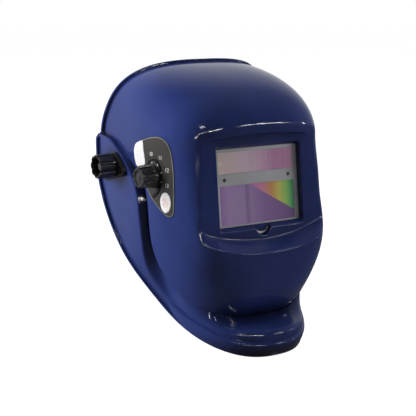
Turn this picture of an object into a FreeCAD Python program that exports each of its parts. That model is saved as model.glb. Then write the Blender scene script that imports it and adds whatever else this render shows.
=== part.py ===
import FreeCAD, Part
import math
import os

# Welding helmet with a variable-shade filter cartridge, made of separate pieces.
# Frame: the origin is the middle of the tilt axis, +Z is up, the wearer looks along -Y,
# and +X is the wearer's left. Lengths are in millimetres.

V = FreeCAD.Vector
X_AXIS, Y_AXIS, Z_AXIS = V(1, 0, 0), V(0, 1, 0), V(0, 0, 1)

# ---------------------------------------------------------------- driving dimensions
WALL = 2.5                   # wall of the moulded shell
DOME_TOP = 115.0             # height of the dome above the tilt axis
DOME_FOOT = 38.0             # height at which the dome starts to close
HALF_WIDTH = 101.0           # half width of the shell at the temples
WING_HALF_WIDTH = 107.0      # half width of the side wings that carry the pivots
BACK = 70.0                  # how far back the raw bodies run before the rim is cut
RIM_GROW = 3.0               # how far the rim flange stands out
RIM_DEPTH = 4.0              # how wide the rim flange is
STEP_GROW = 3.0              # second step of the chin bib

WINDOW_Y = -128.0            # middle of the filter cartridge's front face
WINDOW_Z = -14.5
WINDOW_LEAN = 6.165          # the window leans back at the top, in degrees
RECESS = 6.9                 # the bezel floor lies this far in front of the cartridge
FLOOR_TOP = 41.0             # the bezel floor reaches up to the brow
BROW_DROP = 7.0              # the brow falls by this at x = 85
LIP_DEPTH = 3.6              # the brow's lower lip lies this far behind the body's front
OPENING_W = 110.0            # window opening in the bezel floor
OPENING_H = 91.0
REVEAL = 3.6                 # the reveal narrows the opening by this on each side
REVEAL_SIDE = 1.2
REVEAL_GAP = 0.1             # the reveal stops this far in front of the cartridge
NOTCH_R = 9.5                # finger notch under the window

CARTRIDGE_W = 110.0          # standard 110 x 90 cartridge
CARTRIDGE_H = 90.0
CARTRIDGE_T = 9.0
VIEW_W = 98.0                # clear view through the liquid-crystal cell
VIEW_H = 43.0
SOLAR_H = 23.0
COVER_T = 1.0                # polycarbonate cover lenses

PIVOT_D = 8.0                # pivot screw
PLATE_T = 3.5                # black plates beside the pivot
KNOB_D = 27.0                # side tension knob
KNOB_L = 20.0
TILT_GAP = 0.3               # running gap beside pieces that turn
FIT = 0.05                   # radial running fit of shafts in their bores

SHADE_Y = -76.0              # shade knob on the wearer's right side
SHADE_Z = -3.0
SHADE_D = 23.0
SHADE_L = 17.0
SHAFT_D = 6.0
LABEL_T = 0.5

HEAD_A = 78.0                # head: half breadth and half length at the band
HEAD_B = 99.0
HEAD_Y = 26.0                # middle of the head
BAND_GAP = 5.0               # space for padding between head and band
BAND_T = 2.2
BAND_H = 27.0
BAND_Z = 20.0                # middle height of the front band
STRAP_W = 18.0
STRAP_T = 2.0
STRAP_TOP = 101.0

REAR_Z = -14.0               # middle height of the rear ratchet
HOUSING_W = 48.0
HOUSING_H = 40.0
HOUSING_T = 9.0
RACK_H = 7.0
RACK_T = 2.6
PINION_R = 6.0               # pitch radius
PINION_TEETH = 12
RATCHET_D = 42.0
RATCHET_L = 17.0

# ---------------------------------------------------------------- shell sections
# height, half width, reach in front of the axis, roundness exponent, where the side starts
BODY_SECTIONS = [
    (-207, 64, 112, 2.6, -35), (-182, 76, 124, 2.7, -28), (-152, 86, 140, 2.9, -15),
    (-132, 91, 151, 3.2, -2), (-112, 94.5, 156.5, 3.8, 6), (-92, 97, 159.5, 4.4, 12),
    (-62, 99.5, 160, 4.6, 15), (-32, HALF_WIDTH, 151, 4.6, 15), (-2, HALF_WIDTH, 146, 4.6, 15),
    (DOME_FOOT, HALF_WIDTH, 141, 4.4, 15),
]
SKIRT_SECTIONS = [
    (-204, 60, 158, 2.5, -50), (-190, 65, 168, 2.5, -50), (-177, 70, 171, 2.5, -50),
    (-162, 76, 169, 2.5, -48), (-142, 84, 163, 2.6, -42), (-122, 92, 158, 2.8, -32),
    (-102, 98, 154, 3.0, -24), (-82, 102, 151, 3.0, -20), (-62, 105, 150, 3.0, -20),
    (-42, WING_HALF_WIDTH, 150, 3.0, -20), (-14, WING_HALF_WIDTH, 150, 3.0, -20),
    (14, WING_HALF_WIDTH, 150, 3.0, -20), (42, WING_HALF_WIDTH, 150, 3.0, -20),
]
# side views, as (y, z): the rim, the edge of the wing and bib, and the bib's second step
RIM = [(-16, 115), (9, 92), (26, 66), (38, 42), (41, 20), (40, -2), (36, -22), (27, -42),
       (18, -62), (7, -82), (-7, -102), (-28, -124), (-52, -146), (-75, -164), (-100, -177),
       (-130, -187), (-160, -194), (-184, -198)]
WING_EDGE = [(60, 33), (30, 31), (10, 29), (-9, 22), (-32, 7), (-51, -12), (-59, -30), (-61, -60),
             (-65, -92), (-79, -114), (-95, -131), (-110, -145), (-127, -154.5), (-150, -162.5),
             (-180, -168)]
STEP_EDGE = [(-70, -142), (-95, -154), (-118, -164), (-140, -173), (-165, -179.5), (-190, -183)]


# ---------------------------------------------------------------- helpers
def box(x0, x1, y0, y1, z0, z1):
    return Part.makeBox(x1 - x0, y1 - y0, z1 - z0, V(x0, y0, z0))


def rod(radius, start, end):
    return Part.makeCylinder(radius, (end - start).Length, start, end - start)


def tube(outer, inner, start, end):
    return rod(outer, start, end).cut(rod(inner, start, end))


def fuse(shapes):
    whole = shapes[0]
    if len(shapes) > 1:
        whole = whole.fuse(shapes[1:])
    return whole.removeSplitter()


def mirrored(shape):
    return shape.mirror(V(0, 0, 0), X_AXIS)


def save(name, shape):
    solids = shape.Solids
    if not solids or not all(s.isValid() and s.Volume > 0 for s in solids):
        raise ValueError("bad solid in " + name)
    if len(solids) == 1:
        shape = solids[0]
    else:
        shape = Part.makeCompound(solids)
    shape.exportStep("parts/" + name + ".step")


def save_pair(name, right):
    """Write the wearer's right piece, made at -X, and its mirror image."""
    save(name + "_right", right)
    save(name + "_left", mirrored(right))


def prism(outline, x0, x1):
    """Side-view outline of (y, z) points, extruded along X."""
    points = [V(x0, y, z) for y, z in outline]
    return Part.Face(Part.makePolygon(points + points[:1])).extrude(V(x1 - x0, 0, 0))


def curve_prism(points, corners, x0, x1):
    """Region of the side view between a smooth curve and the straight lines to corners."""
    spline = Part.BSplineCurve()
    spline.interpolate([V(x0, y, z) for y, z in points])
    path = [points[-1]] + corners + [points[0]]
    lines = []
    for a, b in zip(path, path[1:]):
        lines.append(Part.makeLine(V(x0, a[0], a[1]), V(x0, b[0], b[1])))
    wire = Part.Wire([spline.toShape()] + lines)
    return Part.Face(wire).extrude(V(x1 - x0, 0, 0))


def moved_in(points, distance):
    """Side-view points shifted to the left-hand side of their direction of travel."""
    moved = []
    for i, (y, z) in enumerate(points):
        before = points[max(i - 1, 0)]
        after = points[min(i + 1, len(points) - 1)]
        dy, dz = after[0] - before[0], after[1] - before[1]
        length = math.hypot(dy, dz)
        moved.append((y + dz / length * distance, z - dy / length * distance))
    return moved


def rounded_rect(w, h, r, y, x=0, z=0):
    """Rounded rectangle in an XZ plane, as a wire."""
    plain = Part.makePolygon([V(x - w / 2, y, z - h / 2), V(x + w / 2, y, z - h / 2),
                              V(x + w / 2, y, z + h / 2), V(x - w / 2, y, z + h / 2),
                              V(x - w / 2, y, z - h / 2)])
    solid = Part.Face(plain).extrude(V(0, 1, 0))
    edges = [e for e in solid.Edges if abs(e.Vertexes[0].Y - e.Vertexes[-1].Y) > 0.5]
    solid = solid.makeFillet(r, edges)
    for face in solid.Faces:
        if abs(face.CenterOfMass.y - y) < 1e-6:
            return face.OuterWire


def slab(w, h, r, y0, y1, x=0, z=0):
    """Plate with rounded corners that faces along Y."""
    return Part.Face(rounded_rect(w, h, r, y0, x, z)).extrude(V(0, y1 - y0, 0))


def fluted(radius, depth, flutes, start, end, flute_share=0.42):
    """Round knob with flutes cut along its axis."""
    body = rod(radius, start, end)
    axis = (end - start).normalize()
    side = axis.cross(Z_AXIS)
    if side.Length < 0.1:
        side = axis.cross(X_AXIS)
    side.normalize()
    up = axis.cross(side)
    flute_r = math.pi * radius / flutes * flute_share
    away = radius + flute_r - depth
    cutters = []
    for i in range(flutes):
        a = 2 * math.pi * (i + 0.5) / flutes
        out = side * math.cos(a) * away + up * math.sin(a) * away
        cutters.append(rod(flute_r, start + out - axis, end + out + axis))
    return body.cut(cutters)


# ---------------------------------------------------------------- shell
def section_wire(z, half, reach, power, side_y, count=14):
    """One level section: a rounded front between straight sides, closed at the back."""
    front = []
    for i in range(count + 1):
        u = i / count
        w = u ** (power / 2) / (u ** (power / 2) + (1 - u) ** (power / 2))
        s, c = math.sin(w * math.pi / 2), math.cos(w * math.pi / 2)
        front.append((half * s ** (2 / power), side_y - (reach + side_y) * c ** (2 / power)))
    points = [V(-x, y, z) for x, y in reversed(front)] + [V(x, y, z) for x, y in front[1:]]
    spline = Part.BSplineCurve()
    spline.interpolate(points)
    first, last = points[0], points[-1]
    corners = [last, V(half, BACK, z), V(-half, BACK, z), first]
    lines = [Part.makeLine(a, b) for a, b in zip(corners, corners[1:])]
    return Part.Wire([spline.toShape()] + lines)


def body_solid(grow):
    """The smooth shell body, larger by grow all over."""
    wires = []
    for z, half, reach, power, side_y in BODY_SECTIONS:
        wires.append(section_wire(z, half + grow, reach + grow, power, side_y))
    foot = BODY_SECTIONS[-1]
    top = DOME_TOP + grow
    for t in (0.12, 0.26, 0.4, 0.54, 0.67, 0.78, 0.87, 0.935, 0.972, 0.991, 0.999):
        half = (foot[1] + grow) * (1 - t ** 3.18) ** (1 / 3.18)
        reach = (foot[2] + grow + foot[4]) * (1 - t ** 2.21) ** (1 / 2.21) - foot[4]
        power = foot[3] + (2.16 - foot[3]) * t
        wires.append(section_wire(DOME_FOOT + (top - DOME_FOOT) * t, half, reach, power, foot[4]))
    return Part.makeLoft(wires, True, False)


def skirt_solid(grow):
    wires = []
    for z, half, reach, power, side_y in SKIRT_SECTIONS:
        wires.append(section_wire(z, half + grow, reach + grow, power, side_y))
    return Part.makeLoft(wires, True, False)


def floor_y(z):
    """Front face of the bezel floor at height z."""
    lean = math.radians(WINDOW_LEAN)
    return WINDOW_Y - RECESS / math.cos(lean) + (z - WINDOW_Z) * math.tan(lean)


def front_y(x, z):
    """Front of the smooth body at height z, between its level sections."""
    for low, high in zip(BODY_SECTIONS, BODY_SECTIONS[1:]):
        if z <= high[0]:
            break
    share = min((z - low[0]) / (high[0] - low[0]), 1.0)
    half, reach, power, side = [a + (b - a) * share for a, b in zip(low[1:], high[1:])]
    room = 1 - min(abs(x) / half, 1.0) ** power
    return side - (reach + side) * room ** (1 / power)


def recess_solid(wall):
    """What is taken off the face in front of the bezel floor, from brow to chin ledge."""
    wires = []
    for x in (-120, -94, -82, -64, -43, -22, 0, 22, 43, 64, 82, 94, 120):
        ledge = -73 + 20 * (x / 94) ** 2 - wall
        chin = -82 + 17 * abs(x / 85) ** 2.4 - wall
        chin_y = min(front_y(x, chin) - 0.5, floor_y(ledge) - 2)
        top = FLOOR_TOP + wall - BROW_DROP * (x / 85) ** 2
        lip_y = min(front_y(x, top + 2.5) + LIP_DEPTH, floor_y(top) - 0.5)
        ridge_y = min(front_y(x, top + 11), lip_y - 1)
        points = [V(x, floor_y(ledge) + wall, ledge), V(x, chin_y + wall / 2, chin),
                  V(x, -215, chin - 24), V(x, -215, top + 60), V(x, ridge_y + wall / 2, top + 11),
                  V(x, lip_y + wall, top + 2.5), V(x, floor_y(top) + wall, top)]
        wires.append(Part.makePolygon(points + points[:1]))
    return Part.makeLoft(wires, True, False)


def tilted(shape):
    """From the cartridge's own frame to its leaning place in the shell."""
    shape = shape.copy()
    shape.rotate(V(0, 0, 0), X_AXIS, -WINDOW_LEAN)
    shape.translate(V(0, WINDOW_Y, WINDOW_Z))
    return shape


def window_cut():
    """Opening through the bezel floor, and the finger notch, in the cartridge's frame."""
    front, back = -RECESS, -REVEAL_GAP
    outer = rounded_rect(OPENING_W, OPENING_H, 1.5, front - 6)
    at_floor = rounded_rect(OPENING_W, OPENING_H, 1.5, front)
    inner = rounded_rect(OPENING_W - 2 * REVEAL_SIDE, OPENING_H - 2 * REVEAL, 1.5, back)
    deep = rounded_rect(OPENING_W - 2 * REVEAL_SIDE, OPENING_H - 2 * REVEAL, 1.5, back + 6)
    first = Part.makeLoft([outer, at_floor], True, True)
    second = Part.makeLoft([at_floor, inner], True, True)
    third = Part.makeLoft([inner, deep], True, True)
    return [first, second, third]


def reveal_solid():
    """Frame that runs from the bezel floor back to the cartridge, round the cover lens."""
    return slab(OPENING_W + 5, OPENING_H + 5, 3, -RECESS + 0.5, -REVEAL_GAP)


def notch_rod(radius, y0, y1):
    """Round bar across the bottom edge of the window, in the cartridge's frame."""
    z = -OPENING_H / 2 + 1
    return rod(radius, V(1, y0, z), V(1, y1, z))


rim_front = [(-260, -215), (-260, 160), (-42, 140)]
rim_region = curve_prism(RIM, rim_front, -140, 140)
rim_inner = curve_prism(moved_in(RIM, RIM_DEPTH), [(-250, -205), (-250, 165), (-50, 145)], -140, 140)
wing_region = curve_prism(WING_EDGE, [(-250, -174), (-250, -260), (90, -260), (90, 33)], -140, 140)
wing_region_in = curve_prism(moved_in(WING_EDGE, -WALL),
                             [(-250, -186), (-250, -260), (95, -260), (95, 30)], -140, 140)
step_region = curve_prism(STEP_EDGE, [(-250, -195), (-250, -260), (-70, -260)], -140, 140)
step_region_in = curve_prism(moved_in(STEP_EDGE, -WALL),
                             [(-250, -199), (-250, -262), (-67, -262)], -140, 140)

body_outer = body_solid(0)


def make_shell():
    outer = body_outer.cut(recess_solid(0))
    skirt = skirt_solid(0).common(wing_region)
    step = skirt_solid(STEP_GROW).common(step_region)
    rim_band = rim_region.cut(rim_inner)
    flange = body_solid(RIM_GROW).fuse(skirt_solid(RIM_GROW).common(wing_region)).common(rim_band)
    lip = skirt_solid(STEP_GROW + 2).common(step_region).common(rim_band)
    outside = outer.fuse([skirt, step]).common(rim_region).fuse([flange, lip])
    inside = body_solid(-WALL).cut(recess_solid(WALL))
    skirt_in = skirt_solid(-WALL).common(wing_region_in)
    step_in = skirt_solid(STEP_GROW - WALL).common(step_region_in)
    shell = outside.cut(inside.fuse([skirt_in, step_in]))
    cup = notch_rod(NOTCH_R + 2, -RECESS + 0.5, -REVEAL_GAP)
    shell = shell.fuse([tilted(reveal_solid()), tilted(cup)])
    notch = notch_rod(NOTCH_R, -RECESS - 4, -COVER_T - 0.1)
    shell = shell.cut([tilted(c) for c in window_cut() + [notch]])
    cutters = [rod(PIVOT_D / 2 + FIT, V(-140, 0, 0), V(140, 0, 0))]
    p = stop_angle_point(0)
    cutters.append(rod(STOP_PIN_D / 2, p - X_AXIS * 140, p + X_AXIS * 140))
    seat = rounded_prism(grown(OUTER_PLATE, SEAT_GAP), 2.0, -150, -WING_HALF_WIDTH)
    room = rod(STOP_D / 2 + 2, V(-90, 0, 0), V(-WING_HALF_WIDTH + WALL, 0, 0))
    for piece in (seat, room):
        cutters += [piece, mirrored(piece)]
    shell = shell.cut(cutters)
    point, out = shade_axis()
    shell = shell.cut(rod(BUSH_D / 2 + 0.2, point - out * 12, point + out * 12))
    return shell.fuse([tilted(b) for b in bosses()]).removeSplitter()


def shade_axis():
    """Point on the shell's outside under the shade knob, and the outward direction."""
    def outside_x(y, z):
        line = Part.makeLine(V(-150, y, z), V(-60, y, z))
        hit = line.common(body_outer)
        return min(v.X for v in hit.Vertexes)
    point = V(outside_x(SHADE_Y, SHADE_Z), SHADE_Y, SHADE_Z)
    along_y = V(outside_x(SHADE_Y + 2, SHADE_Z), SHADE_Y + 2, SHADE_Z) - point
    along_z = V(outside_x(SHADE_Y, SHADE_Z + 2), SHADE_Y, SHADE_Z + 2) - point
    out = along_z.cross(along_y).normalize()
    if out.x > 0:
        out = out * -1
    return point, out


def grown(outline, distance):
    """Side-view outline moved outwards from its middle."""
    cy = sum(p[0] for p in outline) / len(outline)
    cz = sum(p[1] for p in outline) / len(outline)
    moved = []
    for y, z in outline:
        length = math.hypot(y - cy, z - cz)
        moved.append((y + (y - cy) / length * distance, z + (z - cz) / length * distance))
    return moved


# ---------------------------------------------------------------- window and cartridge
# These pieces are made in the cartridge's frame: X across, Z up, Y back from its front face.
SOLAR_Z = 27.0
VIEW_Z = -19.0
SENSOR_X, SENSOR_Z, SENSOR_D = 42.0, 9.0, 4.2
SEAT = 2.0                   # glass overlaps its seat by this all round
SLACK = 0.2                  # clearance of a piece laid in a pocket
GLASS_T = 1.1
CELL_T = 2.0
FRONT_T = 4.5                # front half of the cartridge's casing
CASE_WALL = 1.0
BOARD_T = 1.2
HOLDER_WALL = 3.0
BOSS_X, BOSS_Z, BOSS_D = 64.0, 38.0, 8.0
SCREW_D = 3.0
CLIP_Z, CLIP_H, CLIP_T = 24.0, 16.0, 1.6
DIAL_X, DIAL_Z, DIAL_D, DIAL_L = 38.0, 26.0, 14.0, 5.0
CELL_D = 20.0

seat_w, seat_h = VIEW_W + 2 * SEAT, VIEW_H + 2 * SEAT
glass_y = 1.2
cell_y = glass_y + GLASS_T + 0.1
board_y = FRONT_T + 0.7
board_back = board_y + BOARD_T
holder_in_w, holder_in_h = CARTRIDGE_W + 0.6, CARTRIDGE_H + 0.6
holder_w = holder_in_w + 2 * HOLDER_WALL
holder_h = holder_in_h + 2 * HOLDER_WALL
shaft_bore = 1.5 + FIT


def cartridge_front():
    case = slab(CARTRIDGE_W, CARTRIDGE_H, 2.5, 0, FRONT_T)
    solar = slab(VIEW_W + 2 * SLACK, SOLAR_H + 2 * SLACK, 0.8, -1, 1.5, 0, SOLAR_Z)
    view = slab(VIEW_W, VIEW_H, 0.8, -1, FRONT_T + 1, 0, VIEW_Z)
    seat = slab(seat_w + 2 * SLACK, seat_h + 2 * SLACK, 0.8, glass_y, FRONT_T + 1, 0, VIEW_Z)
    eyes = [rod(SENSOR_D / 2 + 0.1, V(x, -1, SENSOR_Z), V(x, FRONT_T + 1, SENSOR_Z))
            for x in (-SENSOR_X, SENSOR_X)]
    return case.cut([solar, view, seat] + eyes)


def cartridge_back():
    case = slab(CARTRIDGE_W, CARTRIDGE_H, 2.5, FRONT_T, CARTRIDGE_T)
    view = slab(VIEW_W, VIEW_H, 0.8, FRONT_T - 1, CARTRIDGE_T + 1, 0, VIEW_Z)
    room = box(-CARTRIDGE_W / 2 + CASE_WALL + 1, CARTRIDGE_W / 2 - CASE_WALL - 1,
               FRONT_T - 1, CARTRIDGE_T - CASE_WALL, 4.6, CARTRIDGE_H / 2 - CASE_WALL - 0.6)
    case = case.cut([view, room])
    low, high = VIEW_Z - VIEW_H / 2 - SEAT - 1.6, VIEW_Z + VIEW_H / 2 + SEAT + 1.6
    y0, y1, y2 = CARTRIDGE_T, CARTRIDGE_T + COVER_T + 0.1, CARTRIDGE_T + COVER_T + 1.2
    ribs = [box(-50, 50, y0, y2, low - 0.8, low), box(-50, 50, y1, y2, low, low + 2),
            box(-50, 50, y0, y2, high, high + 1.4), box(-50, 50, y1, y2, high - 2, high)]
    case = fuse([case] + ribs)
    bores = [rod(shaft_bore, V(x, 0, DIAL_Z), V(x, 20, DIAL_Z)) for x in (-DIAL_X, DIAL_X)]
    return case.cut(bores)


def cartridge_dial(x):
    start = CARTRIDGE_T + TILT_GAP
    knob = fluted(DIAL_D / 2, 0.8, 12, V(x, start, DIAL_Z), V(x, start + DIAL_L, DIAL_Z))
    mark = box(x - 0.6, x + 0.6, start + DIAL_L - 0.8, start + DIAL_L + 1, DIAL_Z + 1, DIAL_Z + 9)
    shaft = rod(1.5, V(x, board_back + TILT_GAP, DIAL_Z), V(x, start, DIAL_Z))
    return fuse([knob.cut(mark), shaft])


def chip_group():
    chips = [box(-6, 6, board_back, board_back + 1.3, 31, 41),
             box(-24, -19, board_back, board_back + 1.1, 8, 11),
             box(-14, -9, board_back, board_back + 1.1, 8, 11),
             box(10, 16, board_back, board_back + 1.4, 8, 12)]
    return Part.makeCompound(chips)


def holder():
    ring = slab(holder_w, holder_h, 4, 0, CARTRIDGE_T)
    ring = ring.cut(slab(holder_in_w, holder_in_h, 2.5, -COVER_T - 1, CARTRIDGE_T + 1))
    lugs = []
    half = holder_w / 2
    for side in (-1, 1):
        for z in (-BOSS_Z, BOSS_Z):
            ear = box(half - 1, BOSS_X + 4.5, 0, 3, z - 5, z + 5)
            lugs.append(ear if side > 0 else mirrored(ear))
        seat = box(half - 1, half + 9, 4, CARTRIDGE_T, CLIP_Z - CLIP_H / 2, CLIP_Z + CLIP_H / 2)
        lugs.append(seat if side > 0 else mirrored(seat))
    whole = fuse([ring] + lugs)
    bore = SCREW_D / 2 + 0.1
    holes = []
    for side in (-1, 1):
        for z in (-BOSS_Z, BOSS_Z):
            holes.append(rod(bore, V(side * BOSS_X, -2, z), V(side * BOSS_X, 5, z)))
        x = side * (half + 4.5)
        holes.append(rod(bore, V(x, 3, CLIP_Z), V(x, 12, CLIP_Z)))
    return whole.cut(holes).cut(slab(holder_in_w, holder_in_h, 2.5, -COVER_T - 1, CARTRIDGE_T + 1))


def bosses():
    """Screw posts that the shell carries behind the bezel floor, in the cartridge's frame."""
    posts = []
    for x in (-BOSS_X, BOSS_X):
        for z in (-BOSS_Z, BOSS_Z):
            posts.append(tube(BOSS_D / 2, SCREW_D / 2 + 0.1, V(x, -RECESS + 1.5, z), V(x, 0, z)))
    return posts


def holder_screws():
    screws = []
    for x in (-BOSS_X, BOSS_X):
        for z in (-BOSS_Z, BOSS_Z):
            shank = rod(SCREW_D / 2, V(x, -RECESS + 2.6, z), V(x, 3, z))
            screws.append(fuse([shank, rod(SCREW_D, V(x, 3, z), V(x, 5, z))]))
    return Part.makeCompound(screws)


def clips():
    plates = []
    for side in (-1, 1):
        x0, x1 = CARTRIDGE_W / 2 - 5, holder_w / 2 + 9
        plate = box(x0, x1, CARTRIDGE_T, CARTRIDGE_T + CLIP_T,
                    CLIP_Z - CLIP_H / 2 + 1, CLIP_Z + CLIP_H / 2 - 1)
        x = holder_w / 2 + 4.5
        plate = plate.cut(rod(SCREW_D / 2 + 0.1, V(x, 5, CLIP_Z), V(x, 15, CLIP_Z)))
        plates.append(plate if side > 0 else mirrored(plate))
    return Part.makeCompound(plates)


def clip_screws():
    screws = []
    for side in (-1, 1):
        x, y = side * (holder_w / 2 + 4.5), CARTRIDGE_T + CLIP_T
        shank = rod(SCREW_D / 2, V(x, 4.2, CLIP_Z), V(x, y, CLIP_Z))
        screws.append(fuse([shank, rod(SCREW_D, V(x, y, CLIP_Z), V(x, y + 2, CLIP_Z))]))
    return Part.makeCompound(screws)


def make_cartridge():
    save("cartridge_front", tilted(cartridge_front()))
    save("cartridge_back", tilted(cartridge_back()))
    save("solar_cell", tilted(slab(VIEW_W, SOLAR_H, 0.6, 0.3, 1.5, 0, SOLAR_Z)))
    eyes = [rod(SENSOR_D / 2, V(x, 0.2, SENSOR_Z), V(x, board_y, SENSOR_Z))
            for x in (-SENSOR_X, SENSOR_X)]
    save("light_sensors", tilted(Part.makeCompound(eyes)))
    save("interference_glass", tilted(slab(seat_w, seat_h, 0.6, glass_y, glass_y + GLASS_T, 0, VIEW_Z)))
    save("lcd_cell", tilted(slab(seat_w, seat_h, 0.6, cell_y, cell_y + CELL_T, 0, VIEW_Z)))
    board = box(-CARTRIDGE_W / 2 + 3, CARTRIDGE_W / 2 - 3, board_y, board_back, 5, CARTRIDGE_H / 2 - 2)
    save("circuit_board", tilted(board))
    save("board_chips", tilted(chip_group()))
    cells = [rod(CELL_D / 2, V(x, board_back, DIAL_Z - 2), V(x, board_back + 1.5, DIAL_Z - 2))
             for x in (-18, 18)]
    save("coin_cells", tilted(Part.makeCompound(cells)))
    save("sensitivity_dial", tilted(cartridge_dial(-DIAL_X)))
    save("delay_dial", tilted(cartridge_dial(DIAL_X)))
    cover_w = OPENING_W - 2 * (REVEAL_SIDE + SLACK)
    cover_h = OPENING_H - 2 * (REVEAL + SLACK)
    save("front_cover_lens", tilted(slab(cover_w, cover_h, 1.3, -COVER_T, 0)))
    inner_h = VIEW_H + 2 * SEAT + 3.0
    save("inner_cover_lens", tilted(slab(VIEW_W + 4, inner_h, 1, CARTRIDGE_T,
                                         CARTRIDGE_T + COVER_T, 0, VIEW_Z)))
    save("cartridge_holder", tilted(holder()))
    save("holder_screws", tilted(holder_screws()))
    save("cartridge_clips", tilted(clips()))
    save("clip_screws", tilted(clip_screws()))
    grommet = tube(3.0, LEAD_D / 2 + 0.3, V(GROMMET_X, CARTRIDGE_T, GROMMET_Z),
                   V(GROMMET_X, CARTRIDGE_T + GROMMET_L + 1, GROMMET_Z))
    save("lead_grommet", tilted(grommet))


# ---------------------------------------------------------------- shade control and label
POT_D, POT_T = 16.0, 9.0
BUSH_D = 10.0
LABEL = [(-54, 33), (-70, 38.5), (-88, 40), (-97, 36), (-104, 26), (-109, 4), (-109.5, -38),
         (-105, -44), (-94, -42), (-84, -37), (-66, -23), (-54, -9), (-44.5, 4), (-60, 8)]
TAB = [(-37, 25), (-53.4, 32.5), (-59.4, 8.2), (-44, 4.4)]
STICKER_Y, STICKER_Z = -97.0, -29.0
LEAD_D = 3.0
GROMMET_X, GROMMET_Z, GROMMET_L = -49.0, 14.0, 3.0


def skin_piece(outline_solid, thickness, under=0.05):
    """Thin piece that lies on the shell's side, cut out by a solid along X."""
    beneath = body_solid(under)
    return body_solid(under + thickness).common(outline_solid).cut(beneath)


def rounded_prism(outline, radius, x0, x1):
    solid = prism(outline, x0, x1)
    edges = [e for e in solid.Edges if abs(e.Vertexes[0].X - e.Vertexes[-1].X) > 1]
    return solid.makeFillet(radius, edges)


def bent_path(points, bend):
    """Straight runs through the points, joined by arcs of radius bend."""
    edges = []
    at = points[0]
    for i in range(1, len(points) - 1):
        into = (points[i] - points[i - 1]).normalize()
        away = (points[i + 1] - points[i]).normalize()
        angle = into.getAngle(away)
        cut = bend * math.tan(angle / 2)
        a, b = points[i] - into * cut, points[i] + away * cut
        middle = points[i] + (away - into).normalize() * bend * (1 / math.cos(angle / 2) - 1)
        edges.append(Part.makeLine(at, a))
        edges.append(Part.Arc(a, middle, b).toShape())
        at = b
    edges.append(Part.makeLine(at, points[-1]))
    return Part.Wire(edges)


def lead_points():
    """Route of the lead from the potentiometer's pins to the grommet on the cartridge."""
    point, out = shade_axis()
    start = point - out * (WALL + 0.3 + POT_T / 2) + V(0, 0, -POT_D / 2 - 4)
    grommet = tilted(Part.Vertex(GROMMET_X, CARTRIDGE_T + GROMMET_L, GROMMET_Z)).Point
    bend_a = start + V(0, 0, -12)
    bend_b = V(-81, -98, bend_a.z)
    bend_c = V(-56, grommet.y + 14, grommet.z - 6)
    bend_d = V(grommet.x, grommet.y + 14, grommet.z)
    return [start, bend_a, bend_b, bend_c, bend_d, grommet]


def shade_lead():
    path = bent_path(lead_points(), 4.0)
    start = lead_points()[0]
    ring = Part.Wire(Part.makeCircle(LEAD_D / 2, start, Z_AXIS))
    return path.makePipeShell([ring], True, True)


def lead_clip():
    """Clip on the shell's inside that holds the lead in the middle of its long run."""
    a, b = lead_points()[1:3]
    middle, along = (a + b) * 0.5, (b - a).normalize()
    ring = rod(LEAD_D / 2 + 1.5, middle - along * 3, middle + along * 3)
    foot = box(-110, middle.x, middle.y - 3, middle.y + 3, middle.z - 2.5, middle.z + 2.5)
    clip = fuse([ring, foot]).common(body_solid(-WALL - 0.05))
    return clip.cut(rod(LEAD_D / 2 + 0.05, middle - along * 20, middle + along * 20))


def make_shade_control():
    point, out = shade_axis()
    plate = skin_piece(rounded_prism(LABEL, 1.5, -130, -60), LABEL_T)
    save("label_plate", plate.cut(rod(BUSH_D / 2 + 0.2, point - out * 5, point + out * 5)))
    save("label_tab", skin_piece(rounded_prism(TAB, 1.5, -130, -60), LABEL_T))
    oval = Part.Ellipse(V(-130, STICKER_Y, STICKER_Z), 11, 8.5).toShape()
    oval.rotate(V(-130, STICKER_Y, STICKER_Z), Y_AXIS, 90)
    oval = Part.Face(Part.Wire(oval)).extrude(V(70, 0, 0))
    save("label_sticker", skin_piece(oval, 0.25, LABEL_T + 0.1))
    wall_in = point - out * WALL
    body = rod(POT_D / 2, wall_in - out * (POT_T + 0.3), wall_in - out * 0.3)
    bush = rod(BUSH_D / 2, wall_in - out * 0.3, point + out * 3.2)
    pot = fuse([body, bush]).cut(rod(SHAFT_D / 2 + FIT, wall_in - out * 5, point + out * 10))
    pins = box(-2, 2, -5, 5, -POT_D / 2 - 4, -POT_D / 2 + 3)
    pins.translate(wall_in - out * (POT_T / 2 + 0.3))
    bore = rod(SHAFT_D / 2 + FIT, wall_in - out * 5, point + out * 10)
    save("shade_potentiometer", fuse([pot, pins]).cut(bore))
    nut = tube(7.0, BUSH_D / 2 + 0.05, point + out * (LABEL_T + 0.3), point + out * 2.8)
    save("potentiometer_nut", nut)
    start, end = point + out * 3.4, point + out * (3.4 + SHADE_L)
    knob = fluted(SHADE_D / 2, 1.7, 9, start, end)
    skirt = rod(SHADE_D / 2 + 1.0, point + out * 1.2, point + out * 4.4)
    room = rod(8.0, point, point + out * 4.0)
    dish = rod(SHADE_D / 2 - 3.5, end - out * 1.2, end + out)
    shaft = rod(SHAFT_D / 2, wall_in - out * 4.6, point + out * 6)
    save("shade_knob", fuse([fuse([knob, skirt]).cut([room, dish]), shaft]))
    save("shade_lead", shade_lead())
    save("lead_clip", lead_clip())


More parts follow.
